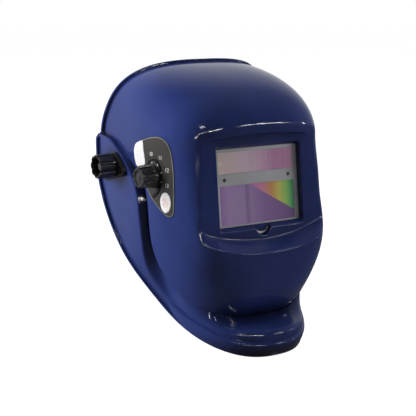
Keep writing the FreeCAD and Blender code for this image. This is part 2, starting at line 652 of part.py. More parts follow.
# ---------------------------------------------------------------- pivots
NECK_X0 = 93.5                         # inner face of the headgear's side arm
ARM_X0, ARM_X1 = 97.0, 100.5           # its boss, which reaches into the wing
STOP_X0, STOP_X1 = 100.6, 102.6        # toothed stop plate
WASHER_X0, WASHER_X1 = 102.7, 104.2    # rubber friction washer
PLATE_X = WING_HALF_WIDTH
SEAT_GAP = 0.6               # room round the outer plate in its seat
STOP_D = 38.0
STOP_PIN_D = 4.0
KNOB_X0 = PLATE_X + PLATE_T + TILT_GAP
OUTER_PLATE = [(32, 8), (-4, 15.5), (-9, 14.5), (-28, -1), (-28, -5), (-24, -9), (20, -19.5),
               (26, -18), (33, -4)]
STOP_R = 13.0                # stop pin's distance from the pivot
TILT_MAX = 75.0              # the shell lifts this far


def outer_plate():
    plate = rounded_prism(OUTER_PLATE, 2.0, -PLATE_X - PLATE_T, -PLATE_X)
    return plate.cut(rod(PIVOT_D / 2 + FIT, V(-150, 0, 0), V(-50, 0, 0)))


def tension_knob():
    knob = fluted(KNOB_D / 2, 2.0, 8, V(-KNOB_X0, 0, 0), V(-KNOB_X0 - KNOB_L, 0, 0))
    end = -KNOB_X0 - KNOB_L
    knob = knob.cut(rod(KNOB_D / 2 - 3.6, V(end + 1.6, 0, 0), V(end - 1, 0, 0)))
    return knob.cut(rod(PIVOT_D / 2 + FIT, V(-KNOB_X0 + 1, 0, 0), V(-KNOB_X0 - KNOB_L + 4, 0, 0)))


def pivot_screw():
    shank = rod(PIVOT_D / 2, V(-NECK_X0, 0, 0), V(-KNOB_X0 - KNOB_L + 5, 0, 0))
    head = rod(8.0, V(-NECK_X0 + 4, 0, 0), V(-NECK_X0, 0, 0))
    return fuse([shank, head])


def stop_angle_point(angle):
    a = math.radians(angle)
    return V(0, -STOP_R * math.cos(a), STOP_R * math.sin(a))


def stop_plate():
    teeth = []
    radius = STOP_D / 2
    disc = tube(radius, PIVOT_D / 2 + 0.1, V(-STOP_X1, 0, 0), V(-STOP_X0, 0, 0))
    for i in range(24):
        a = 2 * math.pi * i / 24
        y, z = radius * math.cos(a), radius * math.sin(a)
        teeth.append(rod(1.2, V(-STOP_X1 - 1, y, z), V(-STOP_X0 + 1, y, z)))
    slot = []
    for i in range(0, 19):
        p = stop_angle_point(-2 + (TILT_MAX + 4) * i / 18)
        slot.append(rod(STOP_PIN_D / 2 + 0.4, p + V(-STOP_X1 - 1, 0, 0), p + V(-STOP_X0 + 1, 0, 0)))
    return disc.cut(teeth + slot)


def stop_pin():
    p = stop_angle_point(0)
    return rod(STOP_PIN_D / 2, p + V(-WING_HALF_WIDTH, 0, 0), p + V(-STOP_X0 - 0.4, 0, 0))


def side_arm():
    disc = rod(18.0, V(-ARM_X1, 0, 0), V(-NECK_X0, 0, 0))
    neck = prism([(-12, 13), (5, -17), (46, 10), (46, 31), (14, 31)], -ARM_X0, -NECK_X0)
    pad_x = HEAD_A + BAND_GAP + BAND_T
    bridge = box(-NECK_X0 - 1, -pad_x - 2, 20, 32, 11, 30)
    pad = box(-pad_x - 3, -pad_x, 20, 46, BAND_Z - 12, BAND_Z + 12)
    arm = fuse([disc, neck, bridge, pad])
    holes = [rod(PIVOT_D / 2 + FIT, V(-150, 0, 0), V(-50, 0, 0))]
    for y, z in rivet_places:
        holes.append(rod(2.1, V(-pad_x - 4, y, z), V(-60, y, z)))
    return arm.cut(holes)


def make_pivots():
    save_pair("outer_plate", outer_plate())
    save_pair("tension_knob", tension_knob())
    save_pair("pivot_screw", pivot_screw())
    save_pair("stop_plate", stop_plate())
    save_pair("stop_pin", stop_pin())
    washer = tube(12.0 - 1.0, PIVOT_D / 2 + 0.1, V(-WASHER_X1, 0, 0), V(-WASHER_X0, 0, 0))
    save_pair("friction_washer", washer)
    save_pair("side_arm", side_arm())


# ---------------------------------------------------------------- headband
band_in = HEAD_A + BAND_GAP
band_front = HEAD_B + BAND_GAP
TAIL_Y = 48.0
rivet_places = [(38, BAND_Z - 6), (38, BAND_Z + 6)]


def ellipse_ring(a_in, b_in, thick, height, z_mid, y_mid):
    shapes = []
    for grow in (thick, 0):
        curve = Part.Ellipse(V(0, y_mid, z_mid - height / 2), b_in + grow, a_in + grow).toShape()
        curve.rotate(V(0, y_mid, 0), Z_AXIS, 90)
        shapes.append(Part.Face(Part.Wire(curve)).extrude(V(0, 0, height)))
    return shapes[0].cut(shapes[1])


def headband():
    ring = ellipse_ring(band_in, band_front, BAND_T, BAND_H, BAND_Z, HEAD_Y)
    ring = ring.cut(box(-200, 200, HEAD_Y, 300, -200, 200))
    low, high = BAND_Z - BAND_H / 2, BAND_Z + BAND_H / 2
    tails = [box(-band_in - BAND_T, -band_in, HEAD_Y, TAIL_Y, low, high),
             box(band_in, band_in + BAND_T, HEAD_Y, TAIL_Y, low, high)]
    whole = fuse([ring] + tails)
    holes = [rod(2.1, V(-150, y, z), V(150, y, z)) for y, z in rivet_places]
    holes += [rod(2.1, V(-150, STRAP_Y, z), V(150, STRAP_Y, z)) for z in (BAND_Z,)]
    slots = [slab(26, 5, 2, -120, -40, x, BAND_Z) for x in (-36, 0, 36)]
    return whole.cut(holes + slots)


def sweatband():
    ring = ellipse_ring(HEAD_A + 0.6, HEAD_B + 0.6, BAND_GAP - 0.9, BAND_H + 6, BAND_Z, HEAD_Y)
    return ring.cut(box(-200, 200, -22, 300, -200, 200))


STRAP_Y = 6.0
STRAP_OVERLAP = 26.0
strap_a = HEAD_A - 1.0
strap_b = STRAP_TOP - BAND_Z - STRAP_T


def crown_strap(lift):
    """The half that comes up from the wearer's right, raised by lift at the crown."""
    shapes = []
    for grow in (STRAP_T, 0):
        a, b = strap_a + grow, strap_b + lift + grow
        curve = Part.Ellipse(V(0, 0, 0), b, a).toShape()
        curve.rotate(V(0, 0, 0), Z_AXIS, 90)
        curve.rotate(V(0, 0, 0), X_AXIS, 90)
        curve.translate(V(0, STRAP_Y + STRAP_W / 2, BAND_Z))
        shapes.append(Part.Face(Part.Wire(curve)).extrude(V(0, -STRAP_W, 0)))
    ring = shapes[0].cut(shapes[1]).common(box(-200, STRAP_OVERLAP, -200, 200, BAND_Z, 200))
    foot = box(-strap_a - STRAP_T, -strap_a, STRAP_Y - STRAP_W / 2, STRAP_Y + STRAP_W / 2,
               BAND_Z - 10, BAND_Z)
    holes = [rod(2.1, V(-150, STRAP_Y, BAND_Z), V(0, STRAP_Y, BAND_Z))]
    for i in range(-2, 3):
        holes.append(rod(1.9, V(i * 9, STRAP_Y, 60), V(i * 9, STRAP_Y, 140)))
    return fuse([ring, foot]).cut(holes)


def rivet(x_in, x_out, y, z):
    shank = rod(2.0, V(-x_in, y, z), V(-x_out, y, z))
    heads = [rod(4.0, V(-x_in + 1.2, y, z), V(-x_in, y, z)),
             rod(4.0, V(-x_out, y, z), V(-x_out - 1.2, y, z))]
    return fuse([shank] + heads)


BAND_SIDE = band_in - 0.5    # outer face of the rear band at the side
REAR_T = 2.0
REAR_H = 18.0
REAR_Y = 127.5               # inner face of the ratchet's base plate
REAR_PATH = [(30, -BAND_SIDE), (48, -BAND_SIDE), (70, -80.5), (92, -73.5), (112, -61), (125, -46)]
RACK_BEND_X = -40.5          # where the rack bends towards the band
RACK_TIP_X = 18.0
rack_y = REAR_Y + 2.4


def rear_band():
    """Right rear band: it curves round the head and falls towards the ratchet."""
    edges = []
    ends = []
    for path in (REAR_PATH, moved_in(REAR_PATH, -REAR_T)):
        points = [V(x, y, -60) for y, x in path]
        curve = Part.BSplineCurve()
        curve.interpolate(points)
        edges.append(curve.toShape())
        ends.append((points[0], points[-1]))
    for a, b in zip(ends[0], ends[1]):
        edges.append(Part.makeLine(a, b))
    wall = Part.Face(Part.Wire(Part.__sortEdges__(edges))).extrude(V(0, 0, 120))
    half = REAR_H / 2
    fall = [(20, BAND_Z - half), (48, BAND_Z - half), (112, REAR_Z - half), (140, REAR_Z - half),
            (140, REAR_Z + half), (112, REAR_Z + half), (48, BAND_Z + half), (20, BAND_Z + half)]
    strip = wall.common(prism(fall, -120, -20))
    return strip.cut([rod(2.1, V(-150, y, z), V(0, y, z)) for y, z in rivet_places])


def plan_plate(points, z0, z1):
    """Plate with the plan outline given as (x, y) points."""
    corners = [V(x, y, z0) for x, y in points]
    return Part.Face(Part.makePolygon(corners + corners[:1])).extrude(V(0, 0, z1 - z0))


def rack(side):
    """Rack of one rear band: side -1 is the wearer's right, above the pinion."""
    y_out, x_out = REAR_PATH[-1]
    y_in, x_in = moved_in(REAR_PATH, -REAR_T)[-1]
    start_out, start_in = (x_out + 0.1, y_out + 0.15), (x_in + 0.1, y_in + 0.15)
    bend_out = (RACK_BEND_X - 0.8, rack_y + RACK_T)
    bend_in = (RACK_BEND_X + 0.8, rack_y)
    pitch = 2 * math.pi * PINION_R / PINION_TEETH
    base = PINION_R - 0.28 * pitch
    strip = plan_plate([start_out, start_in, bend_in, (RACK_TIP_X, rack_y),
                        (RACK_TIP_X, rack_y + RACK_T), bend_out], base, base + RACK_H)
    cutters = []
    for k in range(-9, 6):
        x = k * pitch
        gap = [V(x - pitch * 0.36, rack_y - 1, base - 1), V(x + pitch * 0.36, rack_y - 1, base - 1),
               V(x + pitch * 0.2, rack_y - 1, base + pitch * 0.72),
               V(x - pitch * 0.2, rack_y - 1, base + pitch * 0.72)]
        face = Part.Face(Part.makePolygon(gap + gap[:1]))
        cutters.append(face.extrude(V(0, RACK_T + 2, 0)))
    share = 0.55                 # the wide end stays clear of the other rack's tip
    mid_out = tuple(a + (b - a) * share for a, b in zip(start_out, bend_out))
    mid_in = tuple(a + (b - a) * share for a, b in zip(start_in, bend_in))
    tab = plan_plate([start_out, start_in, mid_in, mid_out], -REAR_H / 2, REAR_H / 2)
    link = plan_plate([mid_out, mid_in, bend_in, bend_out], base, base + RACK_H)
    solid = fuse([strip.cut(cutters), tab, link])
    if side > 0:
        solid.rotate(V(0, 0, 0), Y_AXIS, 180)
    solid.translate(V(0, 0, REAR_Z))
    return solid


def pinion():
    y0, y1 = rack_y - 0.3, rack_y + RACK_T + 0.3
    disc = rod(PINION_R - 1.1, V(0, y0, 0), V(0, y1, 0))
    pitch_angle = 360.0 / PINION_TEETH
    teeth = []
    for i in range(PINION_TEETH):
        tooth = Part.makePolygon([V(-0.62, y0, 4), V(0.62, y0, 4), V(0.3, y0, PINION_R + 0.75),
                                  V(-0.3, y0, PINION_R + 0.75), V(-0.62, y0, 4)])
        tooth = Part.Face(tooth).extrude(V(0, y1 - y0, 0))
        tooth.rotate(V(0, 0, 0), Y_AXIS, pitch_angle * i)
        teeth.append(tooth)
    whole = fuse([disc] + teeth).cut(rod(3.0, V(0, 0, 0), V(0, 200, 0)))
    whole.translate(V(0, 0, REAR_Z))
    return whole


def make_rear():
    base = slab(HOUSING_W, HOUSING_H, 6, REAR_Y, REAR_Y + 2, 0, REAR_Z)
    base = base.cut(rod(3.0 + FIT, V(0, 0, REAR_Z), V(0, 200, REAR_Z)))
    cover = slab(HOUSING_W, HOUSING_H, 6, REAR_Y + 2, REAR_Y + 2 + HOUSING_T, 0, REAR_Z)
    room = box(-HOUSING_W, HOUSING_W, REAR_Y, rack_y + RACK_T + 0.8, REAR_Z - 13.6, REAR_Z + 13.6)
    cover = cover.cut([room, rod(3.0 + FIT, V(0, 0, REAR_Z), V(0, 200, REAR_Z))])
    knob_y = REAR_Y + 2 + HOUSING_T + TILT_GAP
    knob = fluted(RATCHET_D / 2, 1.8, 14, V(0, knob_y, REAR_Z), V(0, knob_y + RATCHET_L, REAR_Z))
    dish = rod(RATCHET_D / 2 - 5, V(0, knob_y + RATCHET_L - 2, REAR_Z), V(0, 200, REAR_Z))
    shaft = rod(3.0, V(0, REAR_Y + 0.5, REAR_Z), V(0, knob_y, REAR_Z))
    save("ratchet_base", base)
    save("ratchet_cover", cover)
    save("ratchet_knob", fuse([knob.cut(dish), shaft]))
    save("ratchet_pinion", pinion())
    save("rear_pad", slab(HOUSING_W - 2, HOUSING_H + 4, 6, REAR_Y - 4.3, REAR_Y, 0, REAR_Z))
    save("rack_right", rack(-1))
    save("rack_left", rack(1))
    save_pair("rear_band", rear_band())


def make_headgear():
    save("headband_front", headband())
    save("sweatband", sweatband())
    save("crown_strap_right", crown_strap(0))
    save("crown_strap_left", mirrored(crown_strap(STRAP_T + 0.6)))
    peg = fuse([rod(1.8, V(0, STRAP_Y, STRAP_TOP - STRAP_T), V(0, STRAP_Y, STRAP_TOP + 3.4)),
                rod(4.0, V(0, STRAP_Y, STRAP_TOP + 3.0), V(0, STRAP_Y, STRAP_TOP + 4.4))])
    save("crown_peg", peg)
    arm_out = band_in + BAND_T + 3.0
    rivets = [rivet(BAND_SIDE - REAR_T, arm_out, y, z) for y, z in rivet_places]
    save_pair("band_rivets", Part.makeCompound(rivets))
    save_pair("strap_peg", rivet(strap_a - 0.3, band_in + BAND_T, STRAP_Y, BAND_Z))


if __name__ == "__main__":
    os.makedirs("parts", exist_ok=True)
    make_pivots()
    make_headgear()
    make_rear()
    make_cartridge()
    make_shade_control()
    save("helmet_shell", make_shell())
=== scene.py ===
import math
import bmesh
import bpy
import numpy as np
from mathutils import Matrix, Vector
from mathutils.geometry import delaunay_2d_cdt


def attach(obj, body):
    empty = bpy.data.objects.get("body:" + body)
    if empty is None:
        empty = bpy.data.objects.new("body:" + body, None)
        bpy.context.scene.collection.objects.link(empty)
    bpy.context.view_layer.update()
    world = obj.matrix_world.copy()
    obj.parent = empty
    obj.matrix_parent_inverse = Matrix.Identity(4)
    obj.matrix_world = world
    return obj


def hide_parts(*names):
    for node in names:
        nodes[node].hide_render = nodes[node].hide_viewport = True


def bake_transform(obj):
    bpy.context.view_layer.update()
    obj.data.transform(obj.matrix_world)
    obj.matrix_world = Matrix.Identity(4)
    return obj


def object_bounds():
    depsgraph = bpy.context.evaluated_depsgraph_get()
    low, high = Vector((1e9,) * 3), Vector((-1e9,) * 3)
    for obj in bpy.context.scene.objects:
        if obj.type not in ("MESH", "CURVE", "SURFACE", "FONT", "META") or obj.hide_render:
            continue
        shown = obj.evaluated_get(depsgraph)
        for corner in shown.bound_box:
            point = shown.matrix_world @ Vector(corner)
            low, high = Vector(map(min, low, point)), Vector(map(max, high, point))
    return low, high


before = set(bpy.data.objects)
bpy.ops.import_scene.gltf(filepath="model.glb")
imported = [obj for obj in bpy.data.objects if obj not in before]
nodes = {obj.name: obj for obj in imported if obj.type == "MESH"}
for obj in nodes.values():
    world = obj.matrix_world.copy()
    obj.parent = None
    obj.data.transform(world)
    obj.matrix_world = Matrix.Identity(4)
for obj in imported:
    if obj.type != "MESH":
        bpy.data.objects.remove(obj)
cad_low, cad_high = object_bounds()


# ---------------------------------------------------------------- camera
# A portrait lens, three-quarters from the wearer's right front and a little above the object,
# aimed at the middle of the shell.
def add_object(name, data):
    made = bpy.data.objects.new(name, data)
    bpy.context.scene.collection.objects.link(made)
    return made


def stood(name, data, place, target):
    """Camera or lamp at a place, turned to its target."""
    made = add_object(name, data)
    made.location = place
    made.rotation_euler = (Vector(target) - Vector(place)).to_track_quat("-Z", "Y").to_euler()
    return made


camera_data = bpy.data.cameras.new("camera")
camera_data.lens, camera_data.sensor_width = 94.56, 36.0
bpy.context.scene.camera = stood("camera", camera_data, (-0.6772, -1.0850, 0.1885),
                                 (0.0115, -0.0108, -0.0602))

# ---------------------------------------------------------------- floor, world and lamps
# A wide floor and a backdrop, white to the eye and weaker in gloss, round a dim room. Broad
# panels light the object without a reflection of their own; thin strips give the highlights.
FLOOR_RADIUS, FLOOR_DROP = 12.0, 0.0005
MIDDLE = (0.0, -0.06, -0.05)
BACKDROP_WAY = (0.25, 0.97, -0.05)        # the pale backdrop stands behind the object
ROOM_WAY = (0.80, 0.60, -0.05)            # the room grows lighter towards its far left corner
PANELS = [("left_panel", (-1.95, 1.35, 0.55), (1.4, 2.0), 112),
          ("right_panel", (2.3, 1.2, 0.5), (1.0, 2.2), 22),
          ("front_panel", (1.9, -1.4, 0.1), (1.2, 1.2), 21),
          ("top_panel", (0.1, -0.3, 1.9), (1.2, 1.2), 12)]
STRIPS = [("left_strip", (-1.26, -1.80, 0.42), (1.30, 0.045), 6.5),
          ("middle_strip", (-0.10, -2.03, 0.50), (0.85, 0.045), 9.0),
          ("right_strip", (1.20, -1.82, 0.37), (0.34, 0.040), 2.6),
          ("end_strip", (1.84, -1.0, 0.28), (0.16, 0.045), 1.2),
          ("high_strip", (-0.9, -1.34, 1.17), (0.32, 0.045), 1.6)]

floor_mesh = bpy.data.meshes.new("floor")
turns = np.linspace(0, 2 * math.pi, 96, endpoint=False)
floor_mesh.from_pydata([(FLOOR_RADIUS * math.cos(t), FLOOR_RADIUS * math.sin(t),
                         cad_low.z - FLOOR_DROP) for t in turns], [], [list(range(len(turns)))])
floor = add_object("floor", floor_mesh)
for name, place, size, watts in PANELS + STRIPS:
    lamp_data = bpy.data.lights.new(name, "AREA")
    lamp_data.shape = "RECTANGLE"
    lamp_data.size, lamp_data.size_y = size
    lamp_data.energy = watts
    lamp = stood(name, lamp_data, place, MIDDLE)
    if name.endswith("panel"):
        lamp.visible_glossy = False
    else:
        lamp.visible_diffuse = False


class Tree:
    """Node tree, with short calls that add a node and fill its sockets."""

    def __init__(self, owner):
        owner.use_nodes = True
        self.tree = owner.node_tree

    def node(self, kind, sockets=(), out=0, **settings):
        """Adds a node and gives one output; sockets are filled with values or other outputs."""
        made = self.tree.nodes.new(kind)
        for key, value in settings.items():
            setattr(made, key, value)
        for socket, value in dict(sockets).items():
            if isinstance(value, bpy.types.NodeSocket):
                self.tree.links.new(value, made.inputs[socket])
            else:
                made.inputs[socket].default_value = value
        return made.outputs[out] if len(made.outputs) else None

    def math(self, operation, a, b=0.0, clamp=False):
        return self.node("ShaderNodeMath", {0: a, 1: b}, operation=operation, use_clamp=clamp)

    def range(self, value, low, high, to_low, to_high):
        """Maps a value from one range to another and keeps it inside."""
        return self.node("ShaderNodeMapRange", dict(enumerate((value, low, high, to_low, to_high))))

    def facing(self, ray, way, *limits):
        """How far a ray goes a given way, mapped to a range."""
        return self.range(self.node("ShaderNodeVectorMath", {0: ray, 1: way}, "Value",
                                    operation="DOT_PRODUCT"), *limits)

    def eye_and_gloss(self):
        """1 for the camera, straight or through clear parts; 1 for rays off a glossy surface."""
        path = self.tree.nodes.new("ShaderNodeLightPath").outputs
        eye = self.math("ADD", path["Is Camera Ray"], path["Is Transmission Ray"], True)
        return eye, path["Is Glossy Ray"]


world = bpy.data.worlds.new("world")
bpy.context.scene.world = world
sky = Tree(world)
sky.tree.nodes.clear()
eye, gloss = sky.eye_and_gloss()
ray = sky.node("ShaderNodeTexCoord", out="Generated")
behind = sky.math("MULTIPLY", gloss, sky.facing(ray, BACKDROP_WAY, 0.35, 0.95, 0.0, 0.62))
room = sky.node("ShaderNodeBackground", {
    "Color": (0.94, 0.96, 1.0, 1), "Strength": sky.facing(ray, ROOM_WAY, 0.0, 1.0, 0.035, 0.36)})
white = sky.node("ShaderNodeBackground", {"Color": (1, 1, 1, 1), "Strength": 1.0})
mixed = sky.node("ShaderNodeMixShader", {0: sky.math("ADD", eye, behind, True), 1: room, 2: white})
sky.node("ShaderNodeOutputWorld", {"Surface": mixed})

# the floor adds its white for what sees it, so that it keeps a soft shadow
floor_paint = bpy.data.materials.new("floor")
ground = Tree(floor_paint)
ground.tree.nodes.clear()
eye, gloss = ground.eye_and_gloss()
matt = ground.node("ShaderNodeBsdfDiffuse", {"Color": (0.26, 0.26, 0.26, 1)})
glow = ground.node("ShaderNodeEmission", {"Strength": ground.math("MULTIPLY", eye, 0.97)})
shaded = ground.node("ShaderNodeAddShader", {0: matt, 1: glow})
way = ground.node("ShaderNodeVectorMath", {0: ground.node("ShaderNodeTexCoord", out="Object")},
                  operation="NORMALIZE")
in_gloss = ground.node("ShaderNodeEmission", {
    "Strength": ground.facing(way, BACKDROP_WAY, 0.35, 0.95, 0.10, 0.62)})
mixed = ground.node("ShaderNodeMixShader", {0: gloss, 1: shaded, 2: in_gloss})
ground.node("ShaderNodeOutputMaterial", {"Surface": mixed})
floor.data.materials.append(floor_paint)
bpy.context.scene.view_settings.view_transform = "Standard"


# ---------------------------------------------------------------- shell plastic
# The shell is blue nylon, injection moulded and glossy, with a fine grain and a few scuffs.
# Painted shade darkens its creases, the band under the brow and the wing's step. Patterns follow
# object coordinates, in metres.
class Finish(Tree):
    """Material round one Principled shader."""

    def __init__(self, name, colour, rough, **sockets):
        self.material = bpy.data.materials.new(name)
        super().__init__(self.material)
        self.base = colour
        self.shader = self.tree.nodes["Principled BSDF"].inputs
        self.shader["Base Color"].default_value = (*colour, 1)
        self.shader["Roughness"].default_value = rough
        for key, value in sockets.items():
            self.shader[key.replace("_", " ")].default_value = value
        self.place = self.node("ShaderNodeTexCoord", out="Object")
        self.normal = None

    def scaled(self, scale, turn=(0, 0, 0)):
        return self.node("ShaderNodeMapping",
                         {"Scale": scale, "Rotation": turn, "Vector": self.place})

    def noise(self, scale, detail=2.0, rough=0.5, vector=None):
        return self.node("ShaderNodeTexNoise", {"Scale": scale, "Detail": detail,
                                                "Roughness": rough, "Vector": vector or self.place})

    def along(self, axis):
        return self.node("ShaderNodeSeparateXYZ", {0: self.place}, axis)

    def blended(self, share, first, second):
        """Mix of two colours, each a tuple or an output."""
        first, second = [(*c, 1) if isinstance(c, tuple) else c for c in (first, second)]
        return self.node("ShaderNodeMix", {0: share, 6: first, 7: second}, 2, data_type="RGBA")

    def shades(self, value, low, high, dark, light):
        """The base colour, darker to lighter as the value goes from low to high."""
        ends = [tuple(min(1, c * k) for c in self.base) for k in (dark, light)]
        return self.blended(self.range(value, low, high, 0, 1), *ends)

    def ramp(self, value, stops):
        made = self.tree.nodes.new("ShaderNodeValToRGB")
        elements = made.color_ramp.elements
        while len(elements) < len(stops):
            elements.new(0.5)
        for element, (position, colour) in zip(elements, stops):
            element.position = position
            element.color = (*colour, 1)
        self.tree.links.new(value, made.inputs[0])
        return made.outputs["Color"]

    def colour(self, output):
        self.tree.links.new(output, self.shader["Base Color"])

    def rough(self, output):
        self.tree.links.new(output, self.shader["Roughness"])

    def patchy(self, scale, detail, low, high):
        """Roughness that goes up and down in patches."""
        self.rough(self.range(self.noise(scale, detail), 0.3, 0.7, low, high))

    def paint_crease_shade(self, reach, open_range, dark):
        """Painted shade: darker where the surface is shut in, as ambient occlusion finds it."""
        crease = self.node("ShaderNodeAmbientOcclusion", {"Distance": reach}, "AO", samples=8)
        self.colour(self.blended(self.range(crease, *open_range, 0, 1), dark, self.tinted))

    def bump(self, height, distance, strength):
        """Adds one more bump on top of those already there."""
        sockets = {"Strength": strength, "Distance": distance, "Height": height}
        if self.normal:
            sockets["Normal"] = self.normal
        self.normal = self.node("ShaderNodeBump", sockets)
        self.tree.links.new(self.normal, self.shader["Normal"])


def moulded(name, colour, rough, grain=0.00004, grain_scale=1800, wear=0.3, **sockets):
    """Moulded plastic: fine grain, hardly visible waves, a few scuffs and dust in its gloss."""
    made = Finish(name, colour, rough, **sockets)
    made.tinted = made.shades(made.noise(14, 4), 0.35, 0.65, 0.86, 1.12)
    made.colour(made.tinted)
    patches = made.range(made.noise(38, 5, 0.6), 0.35, 0.7,
                         rough * (1 - wear * 0.4), rough * (1 + wear))
    streaks = made.noise(90, 3, 0.7, made.scaled((1, 0.12, 0.9), (0.4, 0.2, 0.9)))
    made.rough(made.math("ADD", patches, made.range(streaks, 0.62, 0.74, 0, 0.10)))
    made.bump(made.noise(grain_scale, 2), grain, 0.5)
    made.bump(made.noise(26, 2), 0.0004, 0.06)
    return made


def fitted(piece, finish, body_name, node=None):
    """Gives a piece its material and its body, and hides the solid that it stands for."""
    piece.data.materials.append(finish.material)
    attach(piece, body_name)
    if node:
        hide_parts(node)
    return piece


SHELL_BLUE = moulded("shell_blue", (0.028, 0.046, 0.19), 0.10)
# painted shade: dark navy where the shell is shut in, under the brow and in the wing's step
SHELL_BLUE.paint_crease_shade(0.024, (0.45, 0.96), (0.005, 0.008, 0.032))


# ---------------------------------------------------------------- shell surfaces
# The shell is one thin-walled moulding: a body under a dome, with wings and a bib that stand
# proud of it. Each follows level sections, in millimetres, whose numbers are the height, half
# width, reach in front of the axis, roundness exponent, and where the straight side starts.
BODY_SECTIONS = [
    (-207, 64, 112, 2.6, -35), (-182, 76, 124, 2.7, -28), (-152, 86, 140, 2.9, -15),
    (-132, 91, 151, 3.2, -2), (-112, 94.5, 156.5, 3.8, 6), (-92, 97, 159.5, 4.4, 12),
    (-62, 99.5, 160, 4.6, 15), (-32, 101, 151, 4.6, 15), (-2, 101, 146, 4.6, 15),
    (38, 101, 141, 4.4, 15)]
SKIRT_SECTIONS = [
    (-204, 60, 158, 2.5, -50), (-190, 65, 168, 2.5, -50), (-177, 70, 171, 2.5, -50),
    (-162, 76, 169, 2.5, -48), (-142, 84, 163, 2.6, -42), (-122, 92, 158, 2.8, -32),
    (-102, 98, 154, 3.0, -24), (-82, 102, 151, 3.0, -20), (-62, 105, 150, 3.0, -20),
    (-42, 107, 150, 3.0, -20), (-14, 107, 150, 3.0, -20), (42, 107, 150, 3.0, -20)]
SKIRT_HALF = 107.0                        # the wings' flat sides
# side views, as (y, z): the rim, the foot and the edge of the wing and bib, the bib's second step
RIM = [(-16, 115), (9, 92), (26, 66), (38, 42), (41, 20), (40, -2), (36, -22), (27, -42),
       (18, -62), (7, -82), (-7, -102), (-28, -124), (-52, -146), (-75, -164), (-100, -177),
       (-130, -187), (-160, -194), (-184, -198)]
WING_FOOT = [(60, 33), (30, 31), (8, 28), (-13, 19), (-37, 2), (-56, -15), (-62, -30), (-64, -60),
             (-70, -90), (-84, -111), (-100, -126.5), (-118, -142), (-130, -151.5), (-142, -159),
             (-165, -164)]
WING_EDGE = [(60, 33), (30, 31), (13, 28.5), (-6, 19), (-26, 4), (-43, -13), (-50, -28), (-53, -50),
             (-52, -76), (-50.5, -98), (-54.5, -119), (-63, -131), (-72.5, -141), (-85, -149.5),
             (-98, -157), (-110, -162), (-124, -165), (-144, -166.8), (-162, -167.3),
             (-180, -167.3)]
STEP_EDGE = [(-70, -144), (-95, -156), (-118, -165), (-140, -173), (-165, -180), (-190, -182)]
DOME_FOOT, DOME_TOP = 38.0, 115.0
DOME_HALF, DOME_REACH, DOME_SIDE = 101, 156, 15.0
DOME_FRONT_POWER, DOME_SIDE_POWER = 3.18, 2.21  # how square it looks from the front, from the side
BROW_POWER, POWER_DROP = 4.4, 2.24        # how square it is from above, and how much less on top
WALL = 2.5
WINDOW = (-128.0, -14.5)                  # y and z of the middle of the cartridge's face
LEAN = math.radians(6.165)
RECESS = 6.9
BEHIND = 60.0                             # millimetres of straight side per unit of angle
FACE_HALF = 92.0                          # the face's lines stay level beyond this far sideways
MM = 0.001                                # one millimetre in metres


def arc_length(points):
    return np.concatenate([[0], np.cumsum(np.linalg.norm(np.diff(points, axis=0), axis=1))])


def resample(points, count):
    """The polyline with count evenly spaced points, or with points at the given shares of it."""
    along = arc_length(points)
    want = np.linspace(0, along[-1], count) if isinstance(count, int) else count * along[-1]
    return np.stack([np.interp(want, along, points[:, i]) for i in range(points.shape[1])], 1)


def spline(xs, ys, flat_end=False):
    """Smooth curve through the values, as a function for arrays."""
    xs, ys = np.array(xs, float), np.array(ys, float)
    count, step = len(xs), np.diff(xs)
    rows, right = np.eye(count), np.zeros(count)
    for i in range(1, count - 1):
        rows[i, i - 1:i + 2] = step[i - 1], 2 * (step[i - 1] + step[i]), step[i]
        right[i] = 6 * ((ys[i + 1] - ys[i]) / step[i] - (ys[i] - ys[i - 1]) / step[i - 1])
    if flat_end:
        rows[-1, -2:] = step[-1], 2 * step[-1]
        right[-1] = -6 * (ys[-1] - ys[-2]) / step[-1]
    bend = np.linalg.solve(rows, right)

    def at(x):
        x = np.clip(x, xs[0], xs[-1])
        i = np.clip(np.searchsorted(xs, x) - 1, 0, count - 2)
        a, b, h = xs[i + 1] - x, x - xs[i], step[i]
        return ((bend[i] * a ** 3 + bend[i + 1] * b ** 3) / (6 * h)
                + (ys[i] / h - bend[i] * h / 6) * a + (ys[i + 1] / h - bend[i + 1] * h / 6) * b)
    return at


def side_curve(points):
    """Smooth side-view curve: arrays of y and z for distances from 0 to 1 along it."""
    points = np.array(points, float)
    along = arc_length(points)
    curve_y, curve_z = [spline(along / along[-1], points[:, i]) for i in (0, 1)]
    return lambda s: (curve_y(s), curve_z(s))


def section_table(rows):
    return [spline([row[0] for row in rows], [row[i] for row in rows], True) for i in (1, 2, 3, 4)]


def quarter(share, power):
    """Quarter of a rounded square: from 1 at share 0 down to 0 at share 1."""
    return (1 - share ** power) ** (1 / power)


body_table, skirt_table = section_table(BODY_SECTIONS), section_table(SKIRT_SECTIONS)


def body(z):
    """Half width, reach, exponent and side start of the body at heights z."""
    z = np.asarray(z, float)
    half, reach, power, side = [f(z) for f in body_table]
    t = np.clip((z - DOME_FOOT) / (DOME_TOP - DOME_FOOT), 0, 1)
    slow = t - 0.04 * (1 - np.exp(-t / 0.04))     # sets off gently from the brow
    up = t > 0
    half = np.where(up, DOME_HALF * quarter(t, DOME_FRONT_POWER), half)
    reach = np.where(up, DOME_REACH * quarter(t, DOME_SIDE_POWER) - DOME_SIDE, reach)
    power = np.where(up, BROW_POWER - POWER_DROP * slow, power)
    return half, reach, power, np.where(up, DOME_SIDE, side)


def skirt(z):
    """The same for the wings and the bib."""
    half, reach, power, side = [f(np.asarray(z, float)) for f in skirt_table]
    return np.minimum(half, SKIRT_HALF), reach, power, side


def front_y(section, x, z):
    half, reach, power, side = section(z)
    return side - (reach + side) * quarter(np.clip(np.abs(x) / half, 0, 1), power)


def side_x(section, y, z, grow=0.0):
    half, reach, power, side = section(z)
    share = np.clip((side - y) / np.maximum(reach + grow + side, 1e-6), 0, 1)
    return (half + grow) * quarter(share, power)


